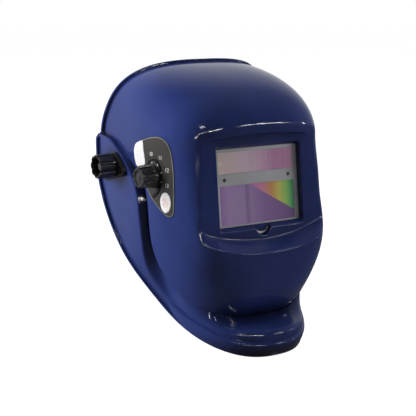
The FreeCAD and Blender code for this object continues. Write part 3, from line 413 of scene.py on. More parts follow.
def angle_of(section, y, z, grow=0.0):
    """Place along a level section: 0 at the front, a quarter turn where the side starts."""
    half, reach, power, side = section(z)
    share = np.clip((side - y) / (reach + grow + side), 0, 1)
    return np.where(y > side, math.pi / 2 + (y - side) / BEHIND, np.arccos(share ** (power / 2)))


def point_at(section, angle, z, grow=0.0):
    half, reach, power, side = section(z)
    front = np.clip(angle, 0, math.pi / 2)
    x = (half + grow) * np.sin(front) ** (2 / power)
    y = side - (reach + grow + side) * np.cos(front) ** (2 / power)
    return np.stack([x, y + np.maximum(angle - math.pi / 2, 0) * BEHIND, z + 0 * x], -1)


def outward(section, points):
    """Unit normals of a section surface at points near it."""
    def level(p):
        half, reach, power, side = section(p[..., 2])
        over = np.maximum(side - p[..., 1], 0) / np.maximum(reach + side, 1)
        return (np.abs(p[..., 0]) / np.maximum(half, 1)) ** power + over ** power
    step = np.eye(3) * 0.1
    normal = np.stack([level(points + step[i]) - level(points - step[i]) for i in range(3)], -1)
    return normal / np.maximum(np.linalg.norm(normal, axis=-1, keepdims=True), 1e-9)


def blend_max(a, b, soft):
    """The larger of two heights, with a rounded change from one to the other."""
    near = np.maximum(soft - np.abs(a - b), 0) / soft
    return np.maximum(a, b) + near * near * soft / 4


def blend_min(a, b, soft):
    return -blend_max(-a, -b, soft)


def floor_y(z):
    """Front face of the bezel floor."""
    return WINDOW[0] - RECESS / math.cos(LEAN) + (z - WINDOW[1]) * math.tan(LEAN)


def bowed(middle, rise, wide, power):
    """Line across the face, as z for each x: level in the middle, then up or down outwards."""
    return lambda x: middle + rise * (np.minimum(np.abs(x), FACE_HALF) / wide) ** power


ledge_top, ledge_foot = bowed(-73, 20, 94, 2), bowed(-82, 17, 85, 2.4)
lip_line, ridge_line = bowed(43.5, -7, 85, 2), bowed(52, -9, 85, 2)


def recess_y(x, z):
    """Back of what is cut off the face: brow above, bezel floor, ledge below."""
    lip, ridge, top, foot = lip_line(x), ridge_line(x), ledge_top(x), ledge_foot(x)
    start = floor_y(lip - 2.5)
    rise = np.minimum((front_y(body, x, lip) + 3.6 - start) / 2.5, -0.4)
    under = start + rise * (z - lip + 2.5)
    chamfer = front_y(body, x, z) + 3.6 * (ridge - z) / (ridge - lip)
    cut = blend_min(floor_y(z), blend_max(under, chamfer, 2.4), 3.0)
    fall = np.minimum((front_y(body, x, foot) - floor_y(top)) / (top - foot), -0.5)
    return blend_min(cut, floor_y(top) + fall * (top - z), 3.0)


def bridge(made, a, b, closed=True):
    """Quads between two runs of vertices."""
    for i in range(len(a) if closed else len(a) - 1):
        j = (i + 1) % len(a)
        made.faces.new([a[i], a[j], b[j], b[i]])


def sheet_mesh(grid, holes=()):
    """Mesh over a grid of points (rows x columns, millimetres), mirrored over the middle."""
    made = bmesh.new()
    for side in (1, -1):
        corners = [[made.verts.new((side * p[0] * MM, p[1] * MM, p[2] * MM)) for p in line]
                   for line in grid]
        for i in range(len(grid) - 1):
            for j in range(len(grid[0]) - 1):
                if (i, j) not in holes:
                    made.faces.new([corners[i][j], corners[i][j + 1],
                                    corners[i + 1][j + 1], corners[i + 1][j]])
    bmesh.ops.remove_doubles(made, verts=made.verts, dist=2e-6)
    return made


def solid(rings, loop=False):
    """Closed mesh over rings of points in millimetres, with flat ends or round in a loop."""
    made = bmesh.new()
    lines = [[made.verts.new(p * MM) for p in ring] for ring in rings]
    for a, b in zip(lines, lines[1:] + (lines[:1] if loop else [])):
        bridge(made, a, b)
    if not loop:
        made.faces.new(lines[0][::-1])
        made.faces.new(lines[-1])
    return made


def finished(name, made, sharp=None, on_right=False):
    """Object from a bmesh, normals outward; those of a sheet on the right side to the right."""
    if on_right:
        for face in made.faces:
            face.normal_update()
            if face.normal.x > 0:
                face.normal_flip()
    else:
        bmesh.ops.recalc_face_normals(made, faces=made.faces)
    mesh = bpy.data.meshes.new(name)
    made.to_mesh(mesh)
    made.free()
    mesh.shade_smooth()
    if sharp:
        mesh.set_sharp_from_angle(angle=math.radians(sharp))
    return add_object(name, mesh)


def settled(piece):
    """Applies the piece's modifiers and removes them."""
    bpy.context.view_layer.update()
    graph = bpy.context.evaluated_depsgraph_get()
    mesh, old = bpy.data.meshes.new_from_object(piece.evaluated_get(graph)), piece.data
    piece.modifiers.clear()
    piece.data = mesh
    bpy.data.meshes.remove(old)
    mesh.name = piece.name
    return piece


def thickened(piece, thickness):
    """Gives a sheet its thickness, in millimetres, behind its outer face."""
    modifier = piece.modifiers.new("thickness", "SOLIDIFY")
    modifier.thickness, modifier.offset = thickness * MM, -1.0
    return settled(piece)


# ---------------------------------------------------------------- shell face and dome
# One moulded skin from the chin to the rim over the forehead, with the recess for the
# window, its opening and finger notch; thickened to the wall at the end.
HOLE_X, HOLE_COLUMN = 62.0, 24            # the opening's patch reaches this far sideways
CHIN_LOW = -164.0                         # where the skin ends, under the bib
CREASE_X, CREASE_LOW, CREASE_HIGH = 80.0, -75.0, 41.0   # rows bend near here, at the floor's edge
OPENING, NARROWER = (55.0, 45.5), (1.2, 3.6)    # half sizes at its mouth, and how much less inside
NOTCH_R, NOTCH_AT = 9.5, (1, -44.5)
DOME_MIDDLE = np.array([0, 15, DOME_FOOT])
MIRROR = np.array([-1, 1, 1])             # turns a point on the left into its twin on the right
side_steps = np.linspace(0, 1, 2001)
rim_line_y, rim_line_z = side_curve(RIM)(side_steps)
foot_line_y, foot_line_z = side_curve(WING_FOOT)(side_steps)


def groove_share(z):
    """1 where a groove runs along the wing's foot, 0 above and below it."""
    return np.clip((14 - z) / 14, 0, 1) * np.clip((z + 150) / 22, 0, 1)


def row_end(z):
    """How far back the body's skin runs at height z: to the rim, or just under the wing."""
    at_rim = np.interp(-z, -rim_line_z, rim_line_y)
    at_foot = np.interp(-z, -foot_line_z, foot_line_y) + 6 - 5.6 * groove_share(z)
    return np.where(z > foot_line_z[0], at_rim, np.minimum(at_rim, at_foot))


def face_row(height):
    """One row of the face from its middle to its end; height gives z for each x."""
    z_side = float(height(np.array(FACE_HALF)))
    z_crease = min(max(float(height(np.array(CREASE_X))), CREASE_LOW), CREASE_HIGH)
    crease = float(side_x(body, floor_y(z_crease), z_crease))
    y_last = float(row_end(np.array(z_side)))
    shrink = min(1.0, float(side_x(body, y_last, z_side)) / (crease + 3) * 0.97)
    x = np.concatenate([np.linspace(0, HOLE_X, HOLE_COLUMN + 1),
                        np.linspace(HOLE_X, crease - 3, 8)[1:],
                        np.linspace(crease - 3, crease + 3, 10)[1:]]) * shrink
    z = height(x)
    front = np.stack([x, front_y(body, x, z), z], -1)
    first = angle_of(body, front[-1, 1], front[-1, 2])
    angles = np.linspace(first, angle_of(body, y_last, z_side), 240)
    z = np.full(240, z_side)
    for _ in range(3):
        side = point_at(body, angles, z)
        z = height(side[:, 0])
    whole = np.concatenate([front, resample(side, 44)[1:]])
    whole[:, 1] = blend_max(whole[:, 1], recess_y(whole[:, 0], whole[:, 2]), 2.4)
    return whole


def beside(line, offsets):
    """Lines across the face at the given heights from one line."""
    return [lambda x, by=by: line(x) + by for by in offsets]


def between(low, low_by, high, high_by, shares):
    """Lines across the face at the given shares of the way from one line to another."""
    from_line, to_line = *beside(low, [low_by]), *beside(high, [high_by])
    return [lambda x, s=s: from_line(x) + (to_line(x) - from_line(x)) * s for s in shares]


def straight(x):
    return 0 * x


rows = between(straight, CHIN_LOW, ledge_foot, -4, np.linspace(0, 1, 38)[:-1])
rows += beside(ledge_foot, (-4, -3, -2.2, -1.5, -0.8, 0, 0.8, 1.5, 2.2))
rows += between(ledge_foot, 2.2, ledge_top, -2.5, (0.25, 0.5, 0.75))
rows += beside(ledge_top, (-2.5, -1.8, -1.1, -0.4, 0.3, 1.0, 1.7))
hole_from = len(rows)
rows += between(ledge_top, 2.4, lambda x: np.minimum(33.4, lip_line(x) - 4.8), 0,
                np.linspace(0, 1, 36))
hole_to = len(rows) - 1
rows += beside(lip_line, (-4, -3.4, -2.9, -2.4, -1.9, -1.4, -0.9, -0.4, 0.1, 0.6, 1.2, 1.9))
rows += between(lip_line, 1.9, ridge_line, -1.6, (0.33, 0.66))
rows += beside(ridge_line, (-1.6, -0.8, 0, 0.8, 1.8, 3.0, 4.4, 6.2))
face = np.array([face_row(height) for height in rows])

# the dome's columns run on from the brow to the rim
brow = face[-1]
inside = (rim_line_z < DOME_TOP - 0.1) & (rim_line_z > brow[-1, 2])
top_y, top_z = rim_line_y[inside], rim_line_z[inside]
top_x = side_x(body, top_y, top_z)
rim_top = np.stack([top_x, top_y, top_z], 1)[top_x > 0]
rim_top = np.concatenate([[[0, rim_top[0, 1], rim_top[0, 2]]], rim_top, brow[-1:]])
targets = resample(rim_top, arc_length(brow) / arc_length(brow)[-1])


def onto_dome(points):
    """Points moved along lines from the dome's middle onto its surface."""
    away = points - DOME_MIDDLE
    low, high = np.full(away.shape[:-1], 0.7), np.full(away.shape[:-1], 1.6)
    for _ in range(40):
        middle = (low + high) / 2
        at = away * middle[..., None]
        half, reach, power, side = body(at[..., 2] + DOME_FOOT)
        over = (at[..., 0] / np.maximum(half, 1e-3)) ** power
        over = over + (np.maximum(-at[..., 1], 0) / np.maximum(reach + side, 1e-3)) ** power
        outside = (over > 1) | (at[..., 2] > DOME_TOP - DOME_FOOT)
        high, low = np.where(outside, middle, high), np.where(outside, low, middle)
    return DOME_MIDDLE + away * low[..., None]


dome = [onto_dome(brow + (targets - brow) * share) for share in np.linspace(0, 1, 46)[1:]]
skin = sheet_mesh(np.concatenate([face, dome]),
                  {(i, j) for i in range(hole_from, hole_to) for j in range(HOLE_COLUMN)})


def opening_ring(half_w, half_h, grow, depth, notch=0, count=240):
    """Outline of the window opening with its finger notch, at a depth behind the filter's face."""
    turn = np.linspace(0, 2 * math.pi, count, endpoint=False)
    way_x, way_z = np.cos(turn), np.sin(turn)
    low, high = np.full(count, 20.0), np.full(count, 90.0)
    for _ in range(40):
        r = (low + high) / 2
        x, z = way_x * r, way_z * r
        over_x, over_z = np.abs(x) - half_w + 2, np.abs(z) - half_h + 2
        past = np.hypot(np.maximum(over_x, 0), np.maximum(over_z, 0)) - 2
        past = past + np.minimum(np.maximum(over_x, over_z), 0)
        if notch > 0:
            past = blend_min(past, np.hypot(x - NOTCH_AT[0], z - NOTCH_AT[1]) - notch, 2.0)
        high, low = np.where(past > grow, r, high), np.where(past > grow, low, r)
    x, z, c, s = way_x * low, way_z * low, math.cos(LEAN), math.sin(LEAN)
    return np.stack([x, WINDOW[0] + depth * c + z * s, WINDOW[1] - depth * s + z * c], -1)


# the opening's wall: how far in it is, how far it opens, its depth, the notch's radius
REVEAL = [(0.0, 1.7, -6.9, NOTCH_R), (0.0, 1.2, -6.9, NOTCH_R), (0.0, 0.6, -6.75, NOTCH_R),
          (0.03, 0.18, -6.4, NOTCH_R), (0.12, 0.0, -5.8, NOTCH_R), (0.5, 0.0, -4.2, NOTCH_R),
          (0.78, 0.0, -2.2, NOTCH_R), (0.96, 0.0, -1.35, NOTCH_R - 0.3),
          (0.97, 0.0, -1.25, NOTCH_R - 1.2), (0.98, 0.0, -1.2, 0), (1.0, 0.0, -0.6, 0)]
loops = []
for share, grow, depth, notch in REVEAL:
    half_w, half_h = [mouth - less * share for mouth, less in zip(OPENING, NARROWER)]
    wall_ring = opening_ring(half_w, half_h, grow, depth, notch, 480)
    loops.append([skin.verts.new(p * MM) for p in wall_ring])
for a, b in zip(loops, loops[1:]):
    bridge(skin, a, b)

# the flat floor between the grid and the opening
edge = [face[hole_from, j] for j in range(HOLE_COLUMN + 1)]
edge += [face[i, HOLE_COLUMN] for i in range(hole_from + 1, hole_to + 1)]
edge += [face[hole_to, j] for j in range(HOLE_COLUMN - 1, -1, -1)]
edge += [p * MIRROR for p in edge[-2:0:-1]]
corners = [skin.verts.new(p * MM) for p in edge] + loops[0]
flat = [Vector((v.co.x, v.co.z)) for v in corners]
first, total = len(edge), len(flat)
wires = [(i, (i + 1) % first) for i in range(first)]
wires += [(i, i + 1 if i + 1 < total else first) for i in range(first, total)]
_, _, patches, origin, _, _ = delaunay_2d_cdt(flat, wires, [], 0, 1e-9)


def round_window(x, z):
    """Direction and distance from the middle of the window."""
    return math.atan2(z - WINDOW[1] * MM, x), math.hypot(x, z - WINDOW[1] * MM)


ring = np.array(sorted(round_window(v.co.x, v.co.z) for v in loops[0]))
for patch in patches:
    picked = [corners[origin[k][0]] for k in patch]
    turn, away = round_window(sum(v.co.x for v in picked) / 3, sum(v.co.z for v in picked) / 3)
    if away > np.interp(turn, ring[:, 0], ring[:, 1], period=2 * math.pi):
        skin.faces.new(picked)
bmesh.ops.remove_doubles(skin, verts=skin.verts, dist=2e-6)
skins = [finished("shell_skin", skin)]


# ---------------------------------------------------------------- wings, bib and rim
# The wings and the chin bib are moulded with the shell and stand proud of its body behind a
# broad hollow step; a second step crosses the bib, and one flange runs round the whole rim.
STEP_PROUD, STEP_HEIGHT = 3.0, 3.2
GROOVE_DEPTH, GROOVE_SPREAD, NARROW = 7.5, 0.25, 14     # deeper where the step is wide
FLANGE_PROUD, FLANGE_WIDTH, FLANGE_RADIUS = 3.0, 4.0, 1.1


def bent(start, corner, end, count):
    """Curve from start to end, drawn towards the corner."""
    u = np.linspace(0, 1, count)[:, None]
    return (1 - u) ** 2 * start + 2 * u * (1 - u) * corner + u ** 2 * end


def rounded_corner(before, after, radius):
    """Joins two polylines that share an end point by a rounded corner."""
    back, on = before[::-1], after
    along_back, along_on = arc_length(back), arc_length(on)
    cut = min(radius, along_back[-1] * 0.45, along_on[-1] * 0.45)

    def taken(line, along, at):
        return np.stack([np.interp(at, along, line[:, i]) for i in range(3)], -1)
    wall_part = taken(back, along_back, np.linspace(along_back[-1], cut, 12)[:-1])
    arc = bent(taken(back, along_back, cut), on[0], taken(on, along_on, cut), 9)
    steps = cut + (along_on[-1] - cut) * np.linspace(0, 1, 23)[1:] ** 1.25
    return np.concatenate([wall_part, arc, taken(on, along_on, steps)])


def on_section(section, curve, grow, start, stop):
    """Points of a side-view curve on a section surface; the last lies on the middle plane."""
    s = np.linspace(start, stop, 1500)
    y, z = curve(s)
    over = -y - section(z)[1] - grow
    past = np.nonzero(over >= 0)[0]
    if len(past):
        k = past[0]
        stop = s[k - 1] + (s[k] - s[k - 1]) * over[k - 1] / (over[k - 1] - over[k])
    s = start + (stop - start) * (1 - (1 - np.linspace(0, 1, 1500)) ** 3)
    y, z = curve(s)
    x = side_x(section, y, z, grow)
    if len(past):
        y[-1], x[-1] = -section(z[-1])[1] - grow, 0
    return s, np.stack([x, y, z], 1)


def proud_sheet(section, under, curves, starts, grow, columns, radii, hollow, taper=0.0):
    """Skin behind a step: hollow wall from its foot to its edge, rounded corner, skin to the rim.

    curves are the edge's, the foot's and the rim's side views, starts where each begins.
    """
    lines = [on_section(section, curves[0], grow, starts[0], 1),
             on_section(under, curves[1], 0.0, starts[1], 1),
             on_section(section, curves[2], grow, starts[2], 1)]
    share = np.linspace(0, 1, columns)
    at = [np.interp(share * arc_length(line)[-1], arc_length(line), s) for s, line in lines]
    grid = []
    for k in range(columns):
        middle = k == columns - 1
        g = grow if taper == 0 else grow * float(np.clip(share[k] / taper, 0, 1)) ** 0.5
        ends = []
        for s, curve in ((at[0][k], curves[0]), (at[2][k], curves[2])):
            y, z = [float(v) for v in curve(s)]
            if middle:
                y = -float(section(z)[1]) - g
            ends.append(np.array([float(angle_of(section, y, z, g)), z]))
        angle, z = (ends[0] + (ends[1] - ends[0]) * np.linspace(0, 1, 60)[:, None]).T
        skin_line = point_at(section, angle, z, g)
        foot_y, foot_z = [float(v) for v in curves[1](at[1][k])]
        foot = np.array([float(side_x(under, foot_y, foot_z)) * (not middle), foot_y, foot_z])
        foot = foot - 0.5 * outward(under, foot[None])[0]
        foot[0] = max(foot[0], 0.0)
        w = np.linspace(0, 1, 24)
        wall_line = foot + (skin_line[0] - foot) * w[:, None]
        groove = float(groove_share(foot_z)) * (grow == 0)
        wide = float(np.linalg.norm(skin_line[0] - foot))
        deep = GROOVE_DEPTH + GROOVE_SPREAD * max(0.0, wide - NARROW)
        bow = hollow * (1 - groove) * np.sin(math.pi * w)
        bow = bow + deep * groove * np.sin(math.pi * w ** 0.6)
        side_on = np.clip(1.9 - share[k] * 2.3, 0, 1)     # 1 on the wings, 0 across the bib
        out = np.array([side_on, -(1 - side_on) * 0.2, (1 - side_on)])
        wall_line = wall_line - bow[:, None] * out / np.linalg.norm(out)
        radius = radii[0] + (radii[1] - radii[0]) * float(np.clip(share[k] * 2 - 0.7, 0, 1))
        grid.append(rounded_corner(wall_line, skin_line, radius))
    grid = np.array(grid)
    grid[-1, :, 0] = 0
    return grid


def crossing(curve_a, curve_b):
    """Distances along two side-view curves where they meet."""
    s = np.linspace(0, 1, 1200)
    a, b = np.stack(curve_a(s), 1), np.stack(curve_b(s), 1)
    gap = np.linalg.norm(a[:, None] - b[None], axis=2)
    i, j = np.unravel_index(np.argmin(gap), gap.shape)
    return s[i], s[j]


rim_curve, wing_curve, foot_curve, step_curve, step_foot_curve = [side_curve(line) for line in (
    RIM, WING_EDGE, WING_FOOT, STEP_EDGE, [(y, z + STEP_HEIGHT) for y, z in STEP_EDGE])]
wing_start, wing_rim = crossing(wing_curve, rim_curve)
foot_start = crossing(foot_curve, rim_curve)[0]
wing_grid = proud_sheet(skirt, body, (wing_curve, foot_curve, rim_curve),
                        (wing_start, foot_start, wing_rim), 0.0, 200, (2.4, 5.5), 1.3)
step_rim = float(np.interp(70, -rim_line_y[1000:], side_steps[1000:]))
step_grid = proud_sheet(skirt, skirt, (step_curve, step_foot_curve, rim_curve),
                        (0.0, 0.0, step_rim), STEP_PROUD, 120, (1.8, 3.6), 0.3, 0.2)

# the flange's path: over the forehead on the body, then out round the wing's corner
corner_z = float(rim_curve(wing_rim)[1])


def wing_share(z):
    """0 above the wing's corner, 1 below it."""
    t = np.clip((corner_z + 1.5 - z) / 7.0, 0, 1)
    return t * t * (3 - 2 * t)


rim_low = on_section(skirt, rim_curve, 0.0, wing_rim - 0.03, 1)[1]
half_path = np.concatenate([rim_top[rim_top[:, 2] > rim_low[0, 2] + 0.3], rim_low])
x, y, z = half_path.T
drawn_in = side_x(body, y, z)
share = np.where(z < corner_z - 8, 1.0, wing_share(z))
half_path[:, 0] = np.where(z > 60, x, drawn_in + (x - drawn_in) * share)
half_path = resample(half_path, 460)
rim_path = np.concatenate([half_path, (half_path * MIRROR)[-2:0:-1]])


def rim_band(path, out, width, r):
    """Flange round the rim: rings of a rounded bar that stands out of the skin along a path."""
    share = wing_share(path[:, 2])[:, None]
    normal = outward(body, path) * (1 - share) + outward(skirt, path) * share
    normal[:, 0] = np.where(path[:, 0] < 0, -np.abs(normal[:, 0]), np.abs(normal[:, 0]))
    along = np.roll(path, -1, axis=0) - np.roll(path, 1, axis=0)
    along /= np.linalg.norm(along, axis=1, keepdims=True)
    normal -= along * np.sum(normal * along, 1, keepdims=True)
    normal /= np.linalg.norm(normal, axis=1, keepdims=True)
    into, inner = np.cross(along, normal), -WALL - 0.1
    profile = [(0, inner), (0, out - r), (0.3 * r, out - 0.3 * r), (r, out), (width - r, out),
               (width - 0.3 * r, out - 0.3 * r), (width, out - r), (width, 0.9),
               (width + 0.5, 0.35), (width + 1.4, -0.2), (width + 1.4, inner)]
    return np.stack([path + into * f + normal * n for f, n in profile], 1)


rim_rings = rim_band(rim_path, FLANGE_PROUD, FLANGE_WIDTH, FLANGE_RADIUS)
rim_flange = finished("rim_flange", solid(rim_rings, loop=True), sharp=50)
skins += [finished(name, sheet_mesh(grid)) for name, grid in
          (("wing_skin", wing_grid), ("step_skin", step_grid))]
for piece in skins:
    thickened(piece, WALL)
for piece in skins + [rim_flange]:
    fitted(piece, SHELL_BLUE, "shell", "helmet_shell")


# ---------------------------------------------------------------- filter window
# The auto-darkening cartridge behind the opening: a solar strip above, a grey band with two
# light sensors, coated glass over the liquid-crystal cell, and a clear cover in front.
VIEW_EDGE = 0.049                         # half width of the solar strip and of the view
GLASS_TOP = -0.0120                       # the view's upper edge
RAINBOW_FROM, RAINBOW_SLOPE = -0.0098, 0.57     # where the glass's painted rainbow reflection starts, and the slope of its edge

casing_grey = moulded("cartridge_grey", (0.58, 0.58, 0.62), 0.36, 0.00006, 1300)
solar = Finish("solar_cell", (0.4, 0.2, 0.25), 0.22, Coat_Weight=0.6, Coat_Roughness=0.04)
# painted reflection: the strip's colour runs from cream on the left through pink to magenta on the
# right, with fine streaks
across = solar.range(solar.along("X"), -VIEW_EDGE, VIEW_EDGE, 0, 1)
fine_lines = solar.noise(1100, 3, 0.8, solar.scaled((1, 0.01, 0.008)))
streaked = solar.math("ADD", across, solar.range(fine_lines, 0.3, 0.7, -0.16, 0.16))
solar.colour(solar.ramp(streaked, [
    (0.0, (1.0, 0.82, 0.70)), (0.12, (0.98, 0.74, 0.76)), (0.36, (0.97, 0.74, 0.88)),
    (0.58, (0.92, 0.52, 0.78)), (0.78, (0.70, 0.24, 0.54)), (1.0, (0.86, 0.34, 0.66))]))
solar.patchy(300, 3, 0.16, 0.30)

glass = Finish("filter_glass", (0.2, 0.1, 0.25), 0.06, Coat_Weight=0.5, Coat_Roughness=0.03)
# painted reflection on the purple glass: lighter bands on the left with a dark line between them,
# and a bright rainbow over its right part below a slanted line
across = glass.range(glass.along("X"), -VIEW_EDGE, VIEW_EDGE, 0, 1)
purple = glass.ramp(across, [
    (0.0, (0.50, 0.25, 0.68)), (0.12, (0.60, 0.38, 0.76)), (0.33, (0.55, 0.35, 0.72)),
    (0.36, (0.38, 0.23, 0.54)), (0.42, (0.52, 0.32, 0.68)), (0.58, (0.40, 0.20, 0.56)),
    (1.0, (0.24, 0.09, 0.38))])
rainbow = glass.ramp(across, [
    (0.40, (0.90, 0.30, 0.85)), (0.56, (1.0, 0.36, 0.60)), (0.70, (1.0, 0.46, 0.10)),
    (0.80, (0.98, 0.90, 0.16)), (0.90, (0.46, 0.95, 0.16)), (0.99, (0.03, 0.72, 0.22))])
depth = glass.math("SUBTRACT", GLASS_TOP, glass.along("Z"))
past = glass.math("SUBTRACT", glass.along("X"), RAINBOW_FROM)
limit = glass.math("MULTIPLY", past, RAINBOW_SLOPE)
in_corner = glass.range(glass.math("SUBTRACT", limit, depth), -0.0003, 0.0003, 0, 1)
glass.colour(glass.blended(in_corner, purple, rainbow))
glass.patchy(60, 4, 0.04, 0.09)

lcd = Finish("lcd_cell", (0.10, 0.11, 0.07), 0.15, Coat_Weight=0.4)
lcd.patchy(120, 3, 0.1, 0.2)
sensor = Finish("light_sensor", (0.012, 0.012, 0.016), 0.12, Coat_Weight=0.8)
sensor.patchy(800, 2, 0.08, 0.18)
clear = Finish("clear_cover", (0.93, 0.95, 0.97), 0.03, Alpha=0.06)
clear.rough(clear.range(clear.noise(70, 6, 0.7), 0.35, 0.75, 0.02, 0.10))
board = Finish("circuit_board", (0.02, 0.13, 0.055), 0.35)
traces = board.noise(420, 2, 0.5, board.scaled((1, 1, 0.2)))
board.colour(board.blended(board.range(traces, 0.52, 0.56, 0, 1),
                           (0.015, 0.10, 0.04), (0.03, 0.20, 0.08)))
chips = moulded("chips", (0.018, 0.018, 0.02), 0.45, 0.00003, 2500)
steel = Finish("steel", (0.56, 0.56, 0.57), 0.28, Metallic=1.0)
turning = steel.noise(1500, 2, 0.5, steel.scaled((1, 0.05, 0.05)))
steel.rough(steel.range(turning, 0.3, 0.7, 0.2, 0.4))
steel.bump(turning, 0.00002, 0.4)
rubber = moulded("rubber", (0.022, 0.022, 0.024), 0.72, 0.00008, 1500)


def paint(finish, *names):
    """Gives carried-over solids one material all over."""
    for name in names:
        materials = nodes[name].data.materials
        materials.clear()
        materials.append(finish.material)


paint(casing_grey, "cartridge_front", "cartridge_back")
for node, finish in (("solar_cell", solar), ("interference_glass", glass), ("lcd_cell", lcd),
                     ("light_sensors", sensor), ("inner_cover_lens", clear),
                     ("circuit_board", board), ("board_chips", chips)):
    paint(finish, node)
paint(steel, "coin_cells", "holder_screws", "clip_screws", "cartridge_clips", "potentiometer_nut",
      "shade_potentiometer", "pivot_screw_left", "pivot_screw_right")
paint(rubber, "friction_washer_left", "friction_washer_right", "lead_grommet", "shade_lead")


# ---------------------------------------------------------------- label by the shade knob
# A thin printed plate, glued to the shell's side: dark grey with a pale edge line, a bare white
# tab at its back corner, a plain oval sticker, the dial's scale, and the knob's painted shadow.
LABEL = [(-47, 31.5), (-57, 35), (-70, 38.5), (-84, 40), (-94.5, 37), (-101.5, 29), (-105.5, 16),
         (-108.5, 0), (-109.8, -20), (-109.6, -37), (-107, -42.5), (-102, -44), (-94, -41.5),
         (-84, -36), (-72, -27.5), (-62, -18), (-52.5, -9), (-44.5, 1), (-38.5, 11), (-36, 20),
         (-38.7, 27.5)]
TAB = [(-37.3, 12), (-36.0, 19), (-37.6, 25.5), (-41.5, 29.5), (-47.5, 31.8), (-53.2, 33.5),
       (-54.6, 32.2), (-55.6, 27), (-57.6, 18), (-59.5, 9.6), (-58.8, 7.6), (-55.5, 6.5),
       (-45, 4.2), (-41.8, 4.4), (-39.4, 7.4)]
STICKER_Y, STICKER_Z = -97.0, -29.0
SHADE_AXIS = (-99.371, -76.0, -3.0)
SHADE_OUT = (-0.99663, -0.08166, 0.00775)
DIAL_FROM, DIAL_TO = -52, 108             # degrees, from the scale's first number to its last
FIRST_NUMBER, NUMBERS = 9, 5
# where the knob's painted shadow starts and ends round it, in degrees
KNOB_SHADOW_FROM, KNOB_SHADOW_TO = -64, 186
LINE_LIFT, MARK_LIFT = 0.62, 0.66         # printed lines, the knob's painted shadow and marks lie just off the plate


def rounded_outline(corners, count=240):
    """Smooth closed outline through the corners."""
    corners = np.array(corners, float)
    run = np.concatenate([corners[-3:], corners, corners[:4]])
    along = np.concatenate([[0], np.cumsum(np.hypot(*np.diff(run, axis=0).T) ** 0.5)])
    t = np.linspace(along[3], along[3 + len(corners)], count, endpoint=False)
    return np.stack([spline(along, run[:, i])(t) for i in (0, 1)], 1)


def inset(outline, by):
    """Outline moved inwards by a distance."""
    ahead = np.roll(outline, -1, axis=0) - np.roll(outline, 1, axis=0)
    ahead /= np.linalg.norm(ahead, axis=1, keepdims=True)
    (x, y), (next_x, next_y) = outline.T, np.roll(outline, -1, axis=0).T
    turn = np.sum(x * next_y - next_x * y)
    return outline + np.stack([-ahead[:, 1], ahead[:, 0]], 1) * (by if turn > 0 else -by)


def on_side(points, lift):
    """(y, z) points laid on the shell's right side, lifted off it, in millimetres."""
    y, z = np.asarray(points, float).T
    base = np.stack([side_x(body, y, z), y, z], 1)
    return (base + outward(body, base) * lift) * MIRROR


def patch_piece(name, outline, lift, thickness, finish, node, hole_radius=0.0):
    """Thin plate that lies on the shell's side."""
    low, high = outline.min(0) + 1, outline.max(0)
    ys, zs = [np.arange(low[i], high[i], 2.0) for i in (0, 1)]
    flat = [Vector(p) for p in [tuple(p) for p in outline] + [(y, z) for y in ys for z in zs]]
    verts, _, tris, _, _, _ = delaunay_2d_cdt(flat, [], [list(range(len(outline)))], 1, 1e-6)
    made = bmesh.new()
    corners = [made.verts.new(p * MM) for p in on_side([(v.x, v.y) for v in verts], lift)]
    for tri in tris:
        centre = sum((verts[i] for i in tri), Vector((0, 0))) / 3
        if (centre - Vector(SHADE_AXIS[1:])).length >= hole_radius:
            made.faces.new([corners[i] for i in tri])
    bmesh.ops.delete(made, geom=[v for v in made.verts if not v.link_faces], context="VERTS")
    piece = thickened(finished(name, made, on_right=True), thickness)
    return fitted(piece, finish, "shell", node)


def ribbon_piece(name, inner, outer, finish, closed=False):
    """Thin band between two runs of (y, z) points on the shell's side, for printed lines and for
    the knob's painted shadow.
    """
    made = bmesh.new()
    runs = [[made.verts.new(p * MM) for p in on_side(run, LINE_LIFT)] for run in (inner, outer)]
    bridge(made, *runs, closed)
    piece = thickened(finished(name, made, on_right=True), 0.08)
    return fitted(piece, finish, "shell")


def arc_points(radius, low, high, count=60):
    """Points round the shade knob; 0 degrees is straight up, positive towards the face."""
    turn = np.radians(np.linspace(low, high, count))
    _, y, z = SHADE_AXIS
    return np.stack([y - radius * np.sin(turn), z + radius * np.cos(turn)], 1)


label_grey = moulded("label_grey", (0.052, 0.049, 0.045), 0.34, 0.00003, 2600)
label_white = moulded("label_white", (0.90, 0.90, 0.89), 0.32, 0.00002, 2600, 0.2)
label_line = moulded("label_line", (0.36, 0.36, 0.34), 0.35, 0.00002, 2600, 0.2)
label_arc = moulded("label_arc", (0.008, 0.008, 0.009), 0.22, 0.00002, 2600, 0.2)
label_outline = rounded_outline(LABEL)
patch_piece("label", label_outline, 0.55, 0.5, label_grey, "label_plate", 6.0)
ribbon_piece("label_edge", inset(label_outline, 0.25), inset(label_outline, 0.85), label_line, True)
patch_piece("label_tab_plate", rounded_outline(TAB, 120), 0.68, 0.6, label_white,
            "label_tab")

# the sticker: a soft wash of colour that fades out towards its edge
sticker = Finish("sticker", (0.82, 0.80, 0.80), 0.30)
tint = sticker.ramp(sticker.range(sticker.along("Y"), -0.1035, -0.0905, 1, 0), [
    (0.05, (0.42, 0.33, 0.62)), (0.35, (0.70, 0.36, 0.55)),
    (0.65, (0.82, 0.55, 0.36)), (0.95, (0.50, 0.68, 0.42))])
place = sticker.node("ShaderNodeMapping", {"Location": (0, -STICKER_Y * MM, -STICKER_Z * MM),
                                           "Vector": sticker.place})
place = sticker.node("ShaderNodeVectorMath", {0: place, 1: (0, 170, 190)}, operation="MULTIPLY")
reach = sticker.node("ShaderNodeVectorMath", {0: place}, "Value", operation="LENGTH")
wash = sticker.math("MULTIPLY", sticker.range(reach, 0.85, 1.1, 0.75, 0),
                    sticker.range(sticker.noise(520, 1), 0.44, 0.52, 0, 1))
sticker.colour(sticker.blended(wash, sticker.base, tint))
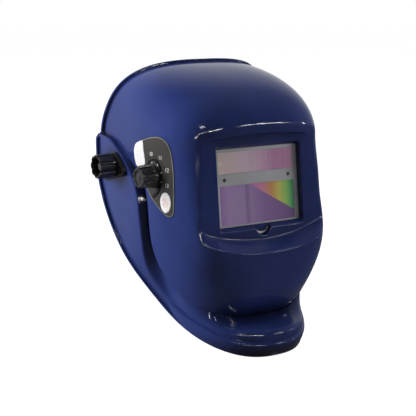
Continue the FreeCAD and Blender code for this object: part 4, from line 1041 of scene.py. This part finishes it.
sticker.patchy(200, 3, 0.24, 0.36)
turn = np.linspace(0, 2 * math.pi, 96, endpoint=False)
oval = np.stack([STICKER_Y + 8.5 * np.cos(turn), STICKER_Z + 11 * np.sin(turn)], 1)
patch_piece("sticker", oval, 0.80, 0.2, sticker, "label_sticker")

# the knob's shadow, painted as a black crescent round it with a tail below it, and a fine printed
# ring outside it
around = np.linspace(KNOB_SHADOW_FROM, KNOB_SHADOW_TO, 120)
crescent = [np.interp(around, [-64, 0, 60, 90, 150, 185, 204],
                      [14.9, 16.4, 13.2, 12.7, 13.2, 20.5, 25.4]),
            np.interp(around, [-64, -20, 20, 60, 90, 130, 160, 185, 204],
                      [15.0, 19.3, 19.8, 17.0, 15.9, 17.2, 21.0, 24.6, 25.6])]
for name, edges, low, high, count in (("painted_knob_shadow", crescent, KNOB_SHADOW_FROM, KNOB_SHADOW_TO, 120),
                                      ("dial_ring", (20.9, 21.5), DIAL_FROM, 60, 60)):
    ribbon_piece(name, *[arc_points(radius, low, high, count) for radius in edges], label_arc)


class Maker(Tree):
    """Geometry node tree with named inputs, which makes a piece along a path."""

    def __init__(self, name, *numbers):
        self.tree = bpy.data.node_groups.new(name, "GeometryNodeTree")
        sockets = [("Path", "Geometry")] + [(label, "Float") for label in numbers]
        for label, kind in sockets + [("Material", "Material")]:
            self.tree.interface.new_socket(label, in_out="INPUT", socket_type="NodeSocket" + kind)
        self.tree.interface.new_socket("Piece", in_out="OUTPUT", socket_type="NodeSocketGeometry")
        self.given = self.tree.nodes.new("NodeGroupInput").outputs

    def size(self, *labels):
        """Vector of three of the tree's numbers."""
        given = [self.given[label] for label in labels]
        return self.node("ShaderNodeCombineXYZ", dict(enumerate(given)))

    def finish(self, points, instance, rotation):
        """Copies at the points as real geometry, shaded smooth, in the given material."""
        copies = self.node("GeometryNodeInstanceOnPoints",
                           {"Points": points, "Instance": instance, "Rotation": rotation})
        real = self.node("GeometryNodeRealizeInstances", {0: copies})
        smooth = self.node("GeometryNodeSetShadeSmooth", {"Geometry": real})
        painted = self.node("GeometryNodeSetMaterial",
                            {"Geometry": smooth, "Material": self.given["Material"]})
        self.node("NodeGroupOutput", {0: painted})

    def make(self, name, points, body_name, slot, ways=None, **values):
        """Piece that the tree makes from a run of points, in millimetres."""
        path = bpy.data.meshes.new(name + "_path")
        edges = [(i, i + 1) for i in range(len(points) - 1)]
        path.from_pydata([tuple(p * MM) for p in points], edges, [])
        if ways is not None:
            outwards = path.attributes.new("outward", "FLOAT_VECTOR", "POINT")
            outwards.data.foreach_set("vector", ways.ravel())
        piece = add_object(name, path)
        modifier = piece.modifiers.new("maker", "NODES")
        modifier.node_group = self.tree
        for item in self.tree.interface.items_tree:
            if item.in_out == "INPUT" and item.name in values:
                modifier[item.identifier] = values[item.name]
        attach(settled(piece), body_name)


# printed marks of the dial: one thin bar at each point, across the path and flat on the label
marks = Maker("dial_marks", "Length", "Width", "Thickness")
bar = marks.node("GeometryNodeMeshCube", {"Size": marks.size("Length", "Width", "Thickness")})
facing = marks.node("GeometryNodeInputNamedAttribute", {"Name": "outward"},
                    data_type="FLOAT_VECTOR")
upright = marks.node("FunctionNodeAlignRotationToVector", {"Vector": facing}, axis="Z")
turned = marks.node("FunctionNodeAlignRotationToVector",
                    {"Rotation": upright, "Vector": marks.node("GeometryNodeInputTangent")},
                    axis="Y", pivot_axis="Z")
marks.finish(marks.node("GeometryNodeMeshToCurve", {"Mesh": marks.given["Path"]}), bar, turned)
tick_at = arc_points(14.8, DIAL_FROM, DIAL_TO, NUMBERS)
tick_base, tick_top = on_side(tick_at, MARK_LIFT), on_side(tick_at, MARK_LIFT + 1)
marks.make("dial_ticks", tick_base, "shell", "label_white", tick_top - tick_base, Length=2.4 * MM,
           Width=0.9 * MM, Thickness=0.16 * MM, Material=label_white.material)

# the scale's plain numbers, each laid on the label's surface
for i, centre in enumerate(arc_points(24.0, DIAL_FROM, DIAL_TO, NUMBERS)):
    digits = bpy.data.curves.new("digits", "FONT")
    digits.body = str(FIRST_NUMBER + i)
    digits.size, digits.extrude = 6.2, 0.06
    digits.align_x, digits.align_y = "CENTER", "CENTER"
    holder = add_object("digits", digits)
    bpy.context.view_layer.update()
    graph = bpy.context.evaluated_depsgraph_get()
    shape = bpy.data.meshes.new_from_object(holder.evaluated_get(graph))
    bpy.data.curves.remove(digits)
    flat = np.array([v.co for v in shape.vertices])
    laid = on_side(centre + flat[:, :2] * np.array([-1, 1]), MARK_LIFT + flat[:, 2:])
    made = bmesh.new()
    made.from_mesh(shape)
    bpy.data.meshes.remove(shape)
    for v, p in zip(made.verts, laid):
        v.co = p * MM
    bmesh.ops.remove_doubles(made, verts=made.verts, dist=1e-7)
    fitted(finished(f"dial_number_{i}", made, sharp=30), label_white, "shell")


# ---------------------------------------------------------------- knobs
# Fluted knobs of glossy black nylon, each made round its axis and pressed on its shaft: side
# tension knobs with a deep hollow end, the shade knob with its skirt, and the wide ratchet knob.
KNOB_BLACK = moulded("black_plastic", (0.036, 0.036, 0.040), 0.30, 0.00003, 2200, 0.35,
                     Coat_Weight=0.3)
# painted shade: darker in the flutes' valleys and in the knobs' hollow ends
KNOB_BLACK.paint_crease_shade(0.006, (0.55, 0.97), (0.002, 0.002, 0.003))
SIDES = ((-1, "right"), (1, "left"))      # the wearer's right is -X
# profiles from the base to the middle of the end: radius, height, how deep the flutes cut
TENSION = [(9.0, 0.0, 0), (12.4, 0.0, 0.1), (13.0, 0.25, 0.25), (13.3, 0.9, 0.7), (13.4, 2.2, 1.4),
           (13.45, 4.0, 1.9), (13.5, 8.0, 2.0), (13.5, 13.0, 2.0), (13.5, 18.2, 2.0),
           (13.4, 19.0, 1.95), (13.05, 19.7, 1.8), (12.5, 20.0, 1.6), (11.7, 19.85, 1.2),
           (11.3, 19.3, 1.1), (11.1, 18.4, 1.1), (10.9, 14.6, 1.1), (10.6, 9.0, 1.0),
           (10.0, 7.4, 0.7), (9.2, 7.0, 0.3), (6.2, 7.0, 0), (5.8, 7.3, 0), (5.6, 8.2, 0),
           (5.1, 8.6, 0), (4.5, 8.3, 0), (4.3, 7.0, 0)]
SHADE = [(8.2, 1.2, 0), (12.1, 1.2, 0), (12.45, 1.5, 0), (12.5, 3.4, 0), (12.3, 4.1, 0),
         (11.8, 4.5, 0.2), (11.55, 5.0, 0.9), (11.5, 6.2, 1.6), (11.5, 12.0, 1.7),
         (11.4, 17.6, 1.7), (11.25, 19.2, 1.6), (10.8, 20.0, 1.4), (10.1, 20.35, 1.0),
         (9.0, 20.4, 0.2), (8.2, 20.3, 0), (7.9, 19.9, 0), (7.6, 19.3, 0), (7.0, 19.15, 0),
         (2.4, 19.2, 0), (1.9, 19.5, 0), (0.6, 19.6, 0)]
RATCHET = [(12.0, 0.0, 0), (19.6, 0.0, 0.2), (20.3, 0.4, 0.6), (20.8, 1.6, 1.2), (21.0, 4.0, 1.8),
           (21.0, 13.6, 1.8), (20.8, 15.4, 1.7), (20.2, 16.5, 1.4), (19.2, 17.0, 0.8),
           (17.2, 17.0, 0), (16.5, 16.7, 0), (16.1, 15.6, 0), (15.4, 15.1, 0), (7.0, 15.1, 0),
           (6.2, 15.5, 0), (5.4, 16.2, 0), (1.0, 16.4, 0)]


def turned_knob(name, body_name, base, out, profile, flutes, flute_share=0.44, steps=22):
    """Knob turned round an axis, its flutes taking a share of the way round."""
    out = Vector(out).normalized()
    u = out.orthogonal().normalized()
    if abs(out.x) > 0.9:
        u = (Vector((0, 0, 1)) - out * out.z).normalized()
    v = out.cross(u)
    turn = np.arange(flutes * steps) * 2 * math.pi / (flutes * steps)
    place = (turn * flutes / (2 * math.pi)) % 1 - 0.5
    dip = np.sqrt(np.clip(1 - (2 * place / flute_share) ** 2, 0, 1))
    dip = ((np.roll(dip, 1) + 2 * dip + np.roll(dip, -1)) / 4)[:, None]
    around = np.outer(np.cos(turn), u) + np.outer(np.sin(turn), v)
    rings = [np.array(base) + np.array(out) * height + around * (radius - depth * dip)
             for radius, height, depth in profile]
    knob = finished(name, solid(rings), sharp=42)
    fitted(knob, KNOB_BLACK, body_name, body_name)


for side, word in SIDES:
    turned_knob(f"knob_{word}", f"tension_knob_{word}", (side * 110.8, 0, 0), (side, 0, 0),
                TENSION, 8)
turned_knob("knob_shade", "shade_knob", SHADE_AXIS, SHADE_OUT, SHADE, 10, 0.5)
turned_knob("knob_ratchet", "ratchet_knob", (0, 138.8, -14), (0, 1, 0), RATCHET, 14)


# ---------------------------------------------------------------- side plates
# Moulded plates under the tension knobs, with rounded corners and softened edges, let into
# the shell's sides.
MATT_BLACK = moulded("black_plate", (0.016, 0.016, 0.017), 0.40, 0.00005, 1600)
PLATE_X = 107.0
OUTER_PLATE = [(32, 8), (-4, 15.5), (-9, 14.5), (-28, -1), (-28, -5), (-24, -9), (20, -19.5),
               (26, -18), (33, -4)]
PLATE_EDGE = [(0, 0.0), (0, 2.2), (0.15, 2.8), (0.5, 3.25), (1.1, 3.5), (2.6, 3.5), (3.1, 3.2),
              (3.7, 3.1)]                 # how far in from the outline, how high


def filleted(corners, radius, steps=7):
    """Closed outline with each corner rounded."""
    corners = np.array(corners, float)
    runs = []
    for i, corner in enumerate(corners):
        ends = []
        for other in (corners[i - 1], corners[(i + 1) % len(corners)]):
            away = other - corner
            length = np.linalg.norm(away)
            ends.append(corner + away / length * min(radius, length * 0.45))
        runs.append(bent(ends[0], corner, ends[1], steps))
    return np.concatenate(runs)


plate_line = filleted(OUTER_PLATE, 5.0)
for side, word in SIDES:
    rings = [np.array([(side * (PLATE_X + height), y, z) for y, z in inset(plate_line, grow)])
             for grow, height in PLATE_EDGE]
    fitted(finished(f"side_plate_{word}", solid(rings), sharp=45), MATT_BLACK, "shell",
           f"outer_plate_{word}")


# ---------------------------------------------------------------- cover lens
# A clear polycarbonate sheet with softened edges. It sits in the opening's wall, just off the
# filter's face, and keeps spatter from it.
LENS_HALF = (53.6, 41.7)
rings = [opening_ring(*LENS_HALF, grow, depth) for grow, depth in
         ((-0.35, -0.15), (0, -0.3), (0, -0.8), (-0.3, -1.0))]
fitted(finished("cover_lens", solid(rings), sharp=40), clear, "shell",
       "front_cover_lens")


# ---------------------------------------------------------------- headgear plastics
# Bands, arms, stop plates, pegs, the cartridge's holder and the ratchet's housing are moulded
# in satin nylon. They keep their solids.
band_plastic = moulded("band_plastic", (0.022, 0.022, 0.024), 0.44, 0.00006, 1200, 0.35)
peg_plastic = moulded("peg_plastic", (0.03, 0.03, 0.033), 0.30)
paint(band_plastic, "headband_front", "crown_strap_right", "crown_strap_left", "side_arm_right",
      "side_arm_left", "rack_right", "rack_left", "cartridge_holder", "lead_clip")
paint(peg_plastic, "crown_peg", "strap_peg_right", "strap_peg_left", "band_rivets_right",
      "band_rivets_left", "stop_plate_right", "stop_plate_left", "stop_pin_right",
      "stop_pin_left", "ratchet_base", "ratchet_cover", "ratchet_pinion", "sensitivity_dial",
      "delay_dial")


# ---------------------------------------------------------------- rear bands
# Flexible nylon bands from the side arms round to the ratchet's racks, whose ends slide in with
# the racks as the ratchet tightens. Here each is one strip along its path.
REAR_PATH = np.array([(30, 82.5), (48, 82.5), (70, 80.5), (92, 73.5), (112, 61), (125, 46)], float)
BAND_Z, REAR_Z = 20.0, -14.0
BAND_THICK, RIB, RIB_PITCH = 2.0, 0.3, 5.0
HALF_BAND = np.array([0, 2, 4, 6, 6.6, 7.2, 8, 8.7, 9])         # heights across half the band
HALF_BEAD = np.array([0.55] * 4 + [0.5, 0.15, 0.0, 0.15, 0.5])  # how far in the face is there


def rear_band_rings(side):
    """Strip with beads along its edges and a row of shallow ribs, as rings along its path."""
    along = arc_length(REAR_PATH)
    s = np.linspace(0, along[-1], 150)
    y, x = [spline(along, REAR_PATH[:, i])(s) for i in (0, 1)]
    run = np.stack([np.gradient(x), np.gradient(y)], 1)
    run /= np.linalg.norm(run, axis=1, keepdims=True)
    heights = np.concatenate([-HALF_BAND[:0:-1], HALF_BAND])
    bead = np.concatenate([HALF_BEAD[:0:-1], HALF_BEAD])
    ribbed = (s > 18) & (s < along[-1] - 14) & (s / RIB_PITCH % 1 < 0.35)
    front = -bead + RIB * ribbed[:, None] * (np.abs(heights) < 5)
    back = -BAND_THICK + 0.25 * (np.abs(heights) > 8.8) + 0 * front
    out = np.concatenate([front, back[:, ::-1]], 1)
    px, py = x[:, None] + run[:, 1:] * out, y[:, None] - run[:, :1] * out
    middle = np.interp(y, [48, 112], [BAND_Z, REAR_Z])[:, None]
    return np.stack([side * px, py, middle + np.concatenate([heights, heights[::-1]])], -1)


for side, word in SIDES:
    band = finished(f"rear_strap_{word}", solid(rear_band_rings(side)), sharp=40)
    band.data.materials.append(band_plastic.material)
    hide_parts(f"rear_band_{word}")
    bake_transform(band)


# ---------------------------------------------------------------- sweatband
# Foam pad in brushed cloth inside the forehead band, with a stitched hem along both edges
# and shallow pressed channels across it.
PAD_LOW, PAD_HIGH, PAD_LONG, PAD_END_Y = 3.5, 36.5, 210, -22.0
HEAD_A, HEAD_B, HEAD_Y = 78.0, 99.0, 26.0
PAD_OUT = 4.5                             # the pad's face stands this far out of the head's oval
HEM, CHANNELS = 3.6, 8
SWELL = 0.35 * MM                         # how far a pad's cloth may swell
PRESSURE, SWELL_FRAMES = 4.0, 20


def cloth(name, colour):
    """Brushed knit: fine crossed rows, soft nap and lint."""
    made = Finish(name, colour, 0.86, Sheen_Weight=0.35, Sheen_Roughness=0.5)
    rows = made.noise(2100, 2, 0.6, made.scaled((1, 1, 0.45)))
    cross = made.noise(1500, 2, 0.6, made.scaled((0.5, 0.5, 1.6)))
    nap = made.noise(240, 4, 0.6)
    tone = made.math("ADD", made.math("MULTIPLY", rows, 0.5), made.math("MULTIPLY", nap, 0.5))
    made.colour(made.shades(tone, 0.36, 0.64, 0.55, 1.7))
    made.rough(made.range(nap, 0.3, 0.7, 0.78, 0.94))
    made.bump(rows, 0.00025, 0.6)
    made.bump(cross, 0.0002, 0.5)
    return made


PAD_CLOTH = cloth("pad_fabric", (0.030, 0.030, 0.034))
THREAD = cloth("pad_thread", (0.16, 0.16, 0.17))


def puffed(name, place, depth, columns, rows):
    """Closed pad: place(u, v) gives a point and its outward normal, depth(u, v) how thick it is."""
    made = bmesh.new()
    sheets = []
    for far in (0, 1):
        sheet = []
        for u in (i / (columns - 1) for i in range(columns)):
            line = []
            for v in (j / (rows - 1) for j in range(rows)):
                point, normal = place(u, v)
                line.append(made.verts.new((point + normal * (far * depth(u, v))) * MM))
            sheet.append(line)
        sheets.append(sheet)
        for a, b in zip(sheet, sheet[1:]):
            bridge(made, a, b, closed=False)
    edge = [(i, 0) for i in range(columns)] + [(columns - 1, j) for j in range(1, rows)]
    edge += [(i, rows - 1) for i in range(columns - 2, -1, -1)]
    edge += [(0, j) for j in range(rows - 2, 0, -1)]
    bridge(made, *[[sheet[i][j] for i, j in edge] for sheet in sheets])
    return finished(name, made)


def swollen(piece):
    """Lets the pad swell as cloth under pressure, no point further than it may."""
    start = np.array([v.co for v in piece.data.vertices])
    modifier = piece.modifiers.new("cloth", "CLOTH")
    settings = modifier.settings
    settings.use_pressure = True
    settings.uniform_pressure_force = PRESSURE
    settings.effector_weights.gravity = 0
    settings.quality = 4
    settings.tension_stiffness = settings.compression_stiffness = 25
    settings.bending_stiffness = 2.0
    modifier.point_cache.frame_start, modifier.point_cache.frame_end = 1, SWELL_FRAMES
    scene = bpy.context.scene
    for number in range(1, SWELL_FRAMES + 1):
        scene.frame_set(number)
    evaluated = piece.evaluated_get(bpy.context.evaluated_depsgraph_get())
    move = np.array([v.co for v in evaluated.data.vertices]) - start
    piece.modifiers.clear()
    scene.frame_set(1)
    move *= np.minimum(1, SWELL / np.maximum(np.linalg.norm(move, axis=1, keepdims=True), 1e-9))
    for vertex, to in zip(piece.data.vertices, start + move):
        vertex.co = to


def pad_piece(name, place, depth, columns, rows, body_name, node):
    pad = puffed(name, place, depth, columns, rows)
    swollen(pad)
    fitted(pad, PAD_CLOTH, body_name, node)


def pressed(distance, width):
    """1 in the middle of a pressed line, fading to 0 beside it."""
    return math.exp(-(distance / width) ** 2)


def sweat_place(u, v):
    """Point on the pad's outer face and the normal towards the head."""
    last = math.acos((HEAD_Y - PAD_END_Y) / (HEAD_B + 5.0))
    turn = -last + 2 * last * u
    a, b = HEAD_A + PAD_OUT, HEAD_B + PAD_OUT
    point = np.array([a * math.sin(turn), HEAD_Y - b * math.cos(turn),
                      PAD_LOW + (PAD_HIGH - PAD_LOW) * v])
    normal = np.array([-math.sin(turn) / a, math.cos(turn) / b, 0])
    return point, normal / np.linalg.norm(normal)


def sweat_depth(u, v):
    from_hem, from_end = min(v, 1 - v) * (PAD_HIGH - PAD_LOW), min(u, 1 - u) * PAD_LONG
    rounded = min(1.0, from_hem / 3.0) ** 0.5 * min(1.0, from_end / 3.5) ** 0.5
    channel = 1.0 - 0.5 * pressed((u * CHANNELS % 1 - 0.5) * 26, 1.6)
    return 0.35 + 3.2 * rounded * min(1.0 - 0.45 * pressed(from_hem - HEM, 0.8), channel)


pad_piece("forehead_pad", sweat_place, sweat_depth, 181, 27, "headgear", "sweatband")


# ---------------------------------------------------------------- nape pad
# Rounded square cushion on the front of the ratchet's housing, in the same cloth, with one
# square row of stitches.
SQUARE_FROM, SQUARE_SIDE = 0.11, 0.78     # the row's place across the cushion
NAPE_HALF_X, NAPE_HALF_Z, NAPE_Y, ROUNDNESS = 22.6, 21.6, 127.4, 0.55


def nape_place(u, v):
    a, b = (u - 0.5) * 2, (v - 0.5) * 2
    x = a * math.sqrt(1 - b * b / 2 * ROUNDNESS) * NAPE_HALF_X
    z = b * math.sqrt(1 - a * a / 2 * ROUNDNESS) * NAPE_HALF_Z
    return np.array([x, NAPE_Y, REAR_Z + z]), np.array([0.0, -1.0, 0.0])


def nape_depth(u, v):
    reach = max(abs(u - 0.5), abs(v - 0.5)) * 2
    rounded = max(0.0, 1 - reach ** 8) ** 0.5
    return 0.4 + 3.3 * rounded * (1 - 0.4 * pressed(reach - SQUARE_SIDE, 0.05))


pad_piece("nape_pad", nape_place, nape_depth, 61, 61, "ratchet_housing", "rear_pad")


# ---------------------------------------------------------------- stitches
# Rows of short raised threads of grey polyester, sewn through both pads after they are filled;
# each is a slender bead that lies along its row.
seam = Maker("stitch_row", "Pitch", "Length", "Thread")
row = seam.node("GeometryNodeMeshToCurve", {"Mesh": seam.given["Path"]})
row = seam.node("GeometryNodeResampleCurve", {"Curve": row, "Length": seam.given["Pitch"]},
                mode="LENGTH")
thread = seam.node("GeometryNodeMeshUVSphere", {"Segments": 8, "Rings": 6, "Radius": 0.5})
thread = seam.node("GeometryNodeTransform",
                   {"Geometry": thread, "Scale": seam.size("Thread", "Thread", "Length")})
seam.finish(row, thread, seam.node("FunctionNodeAlignRotationToVector",
                                   {"Vector": seam.node("GeometryNodeInputTangent")}, axis="Z"))


def stitches(name, place, depth, path, body_name):
    """One row along a path of (u, v) on a pad."""
    points = []
    for u, v in path:
        point, normal = place(u, v)
        points.append(point + normal * (depth(u, v) + 0.1))
    seam.make(name, points, body_name, "pad_fabric", Pitch=3.2 * MM, Length=2.2 * MM,
              Thread=0.54 * MM, Material=THREAD.material)


hem = HEM / (PAD_HIGH - PAD_LOW)
for i, height in enumerate((hem, 1 - hem)):
    stitches(f"hem_stitches_{i}", sweat_place, sweat_depth,
             [(u, height) for u in np.linspace(0.02, 0.98, 200)], "headgear")
low, high = SQUARE_FROM, SQUARE_FROM + SQUARE_SIDE
turn = SQUARE_SIDE * np.linspace(0, 1, 40)
square = [(low + t, low) for t in turn] + [(high, low + t) for t in turn[1:]]
square += [(high - t, high) for t in turn[1:]] + [(low, high - t) for t in turn[1:]]
stitches("nape_stitches", nape_place, nape_depth, square, "ratchet_housing")
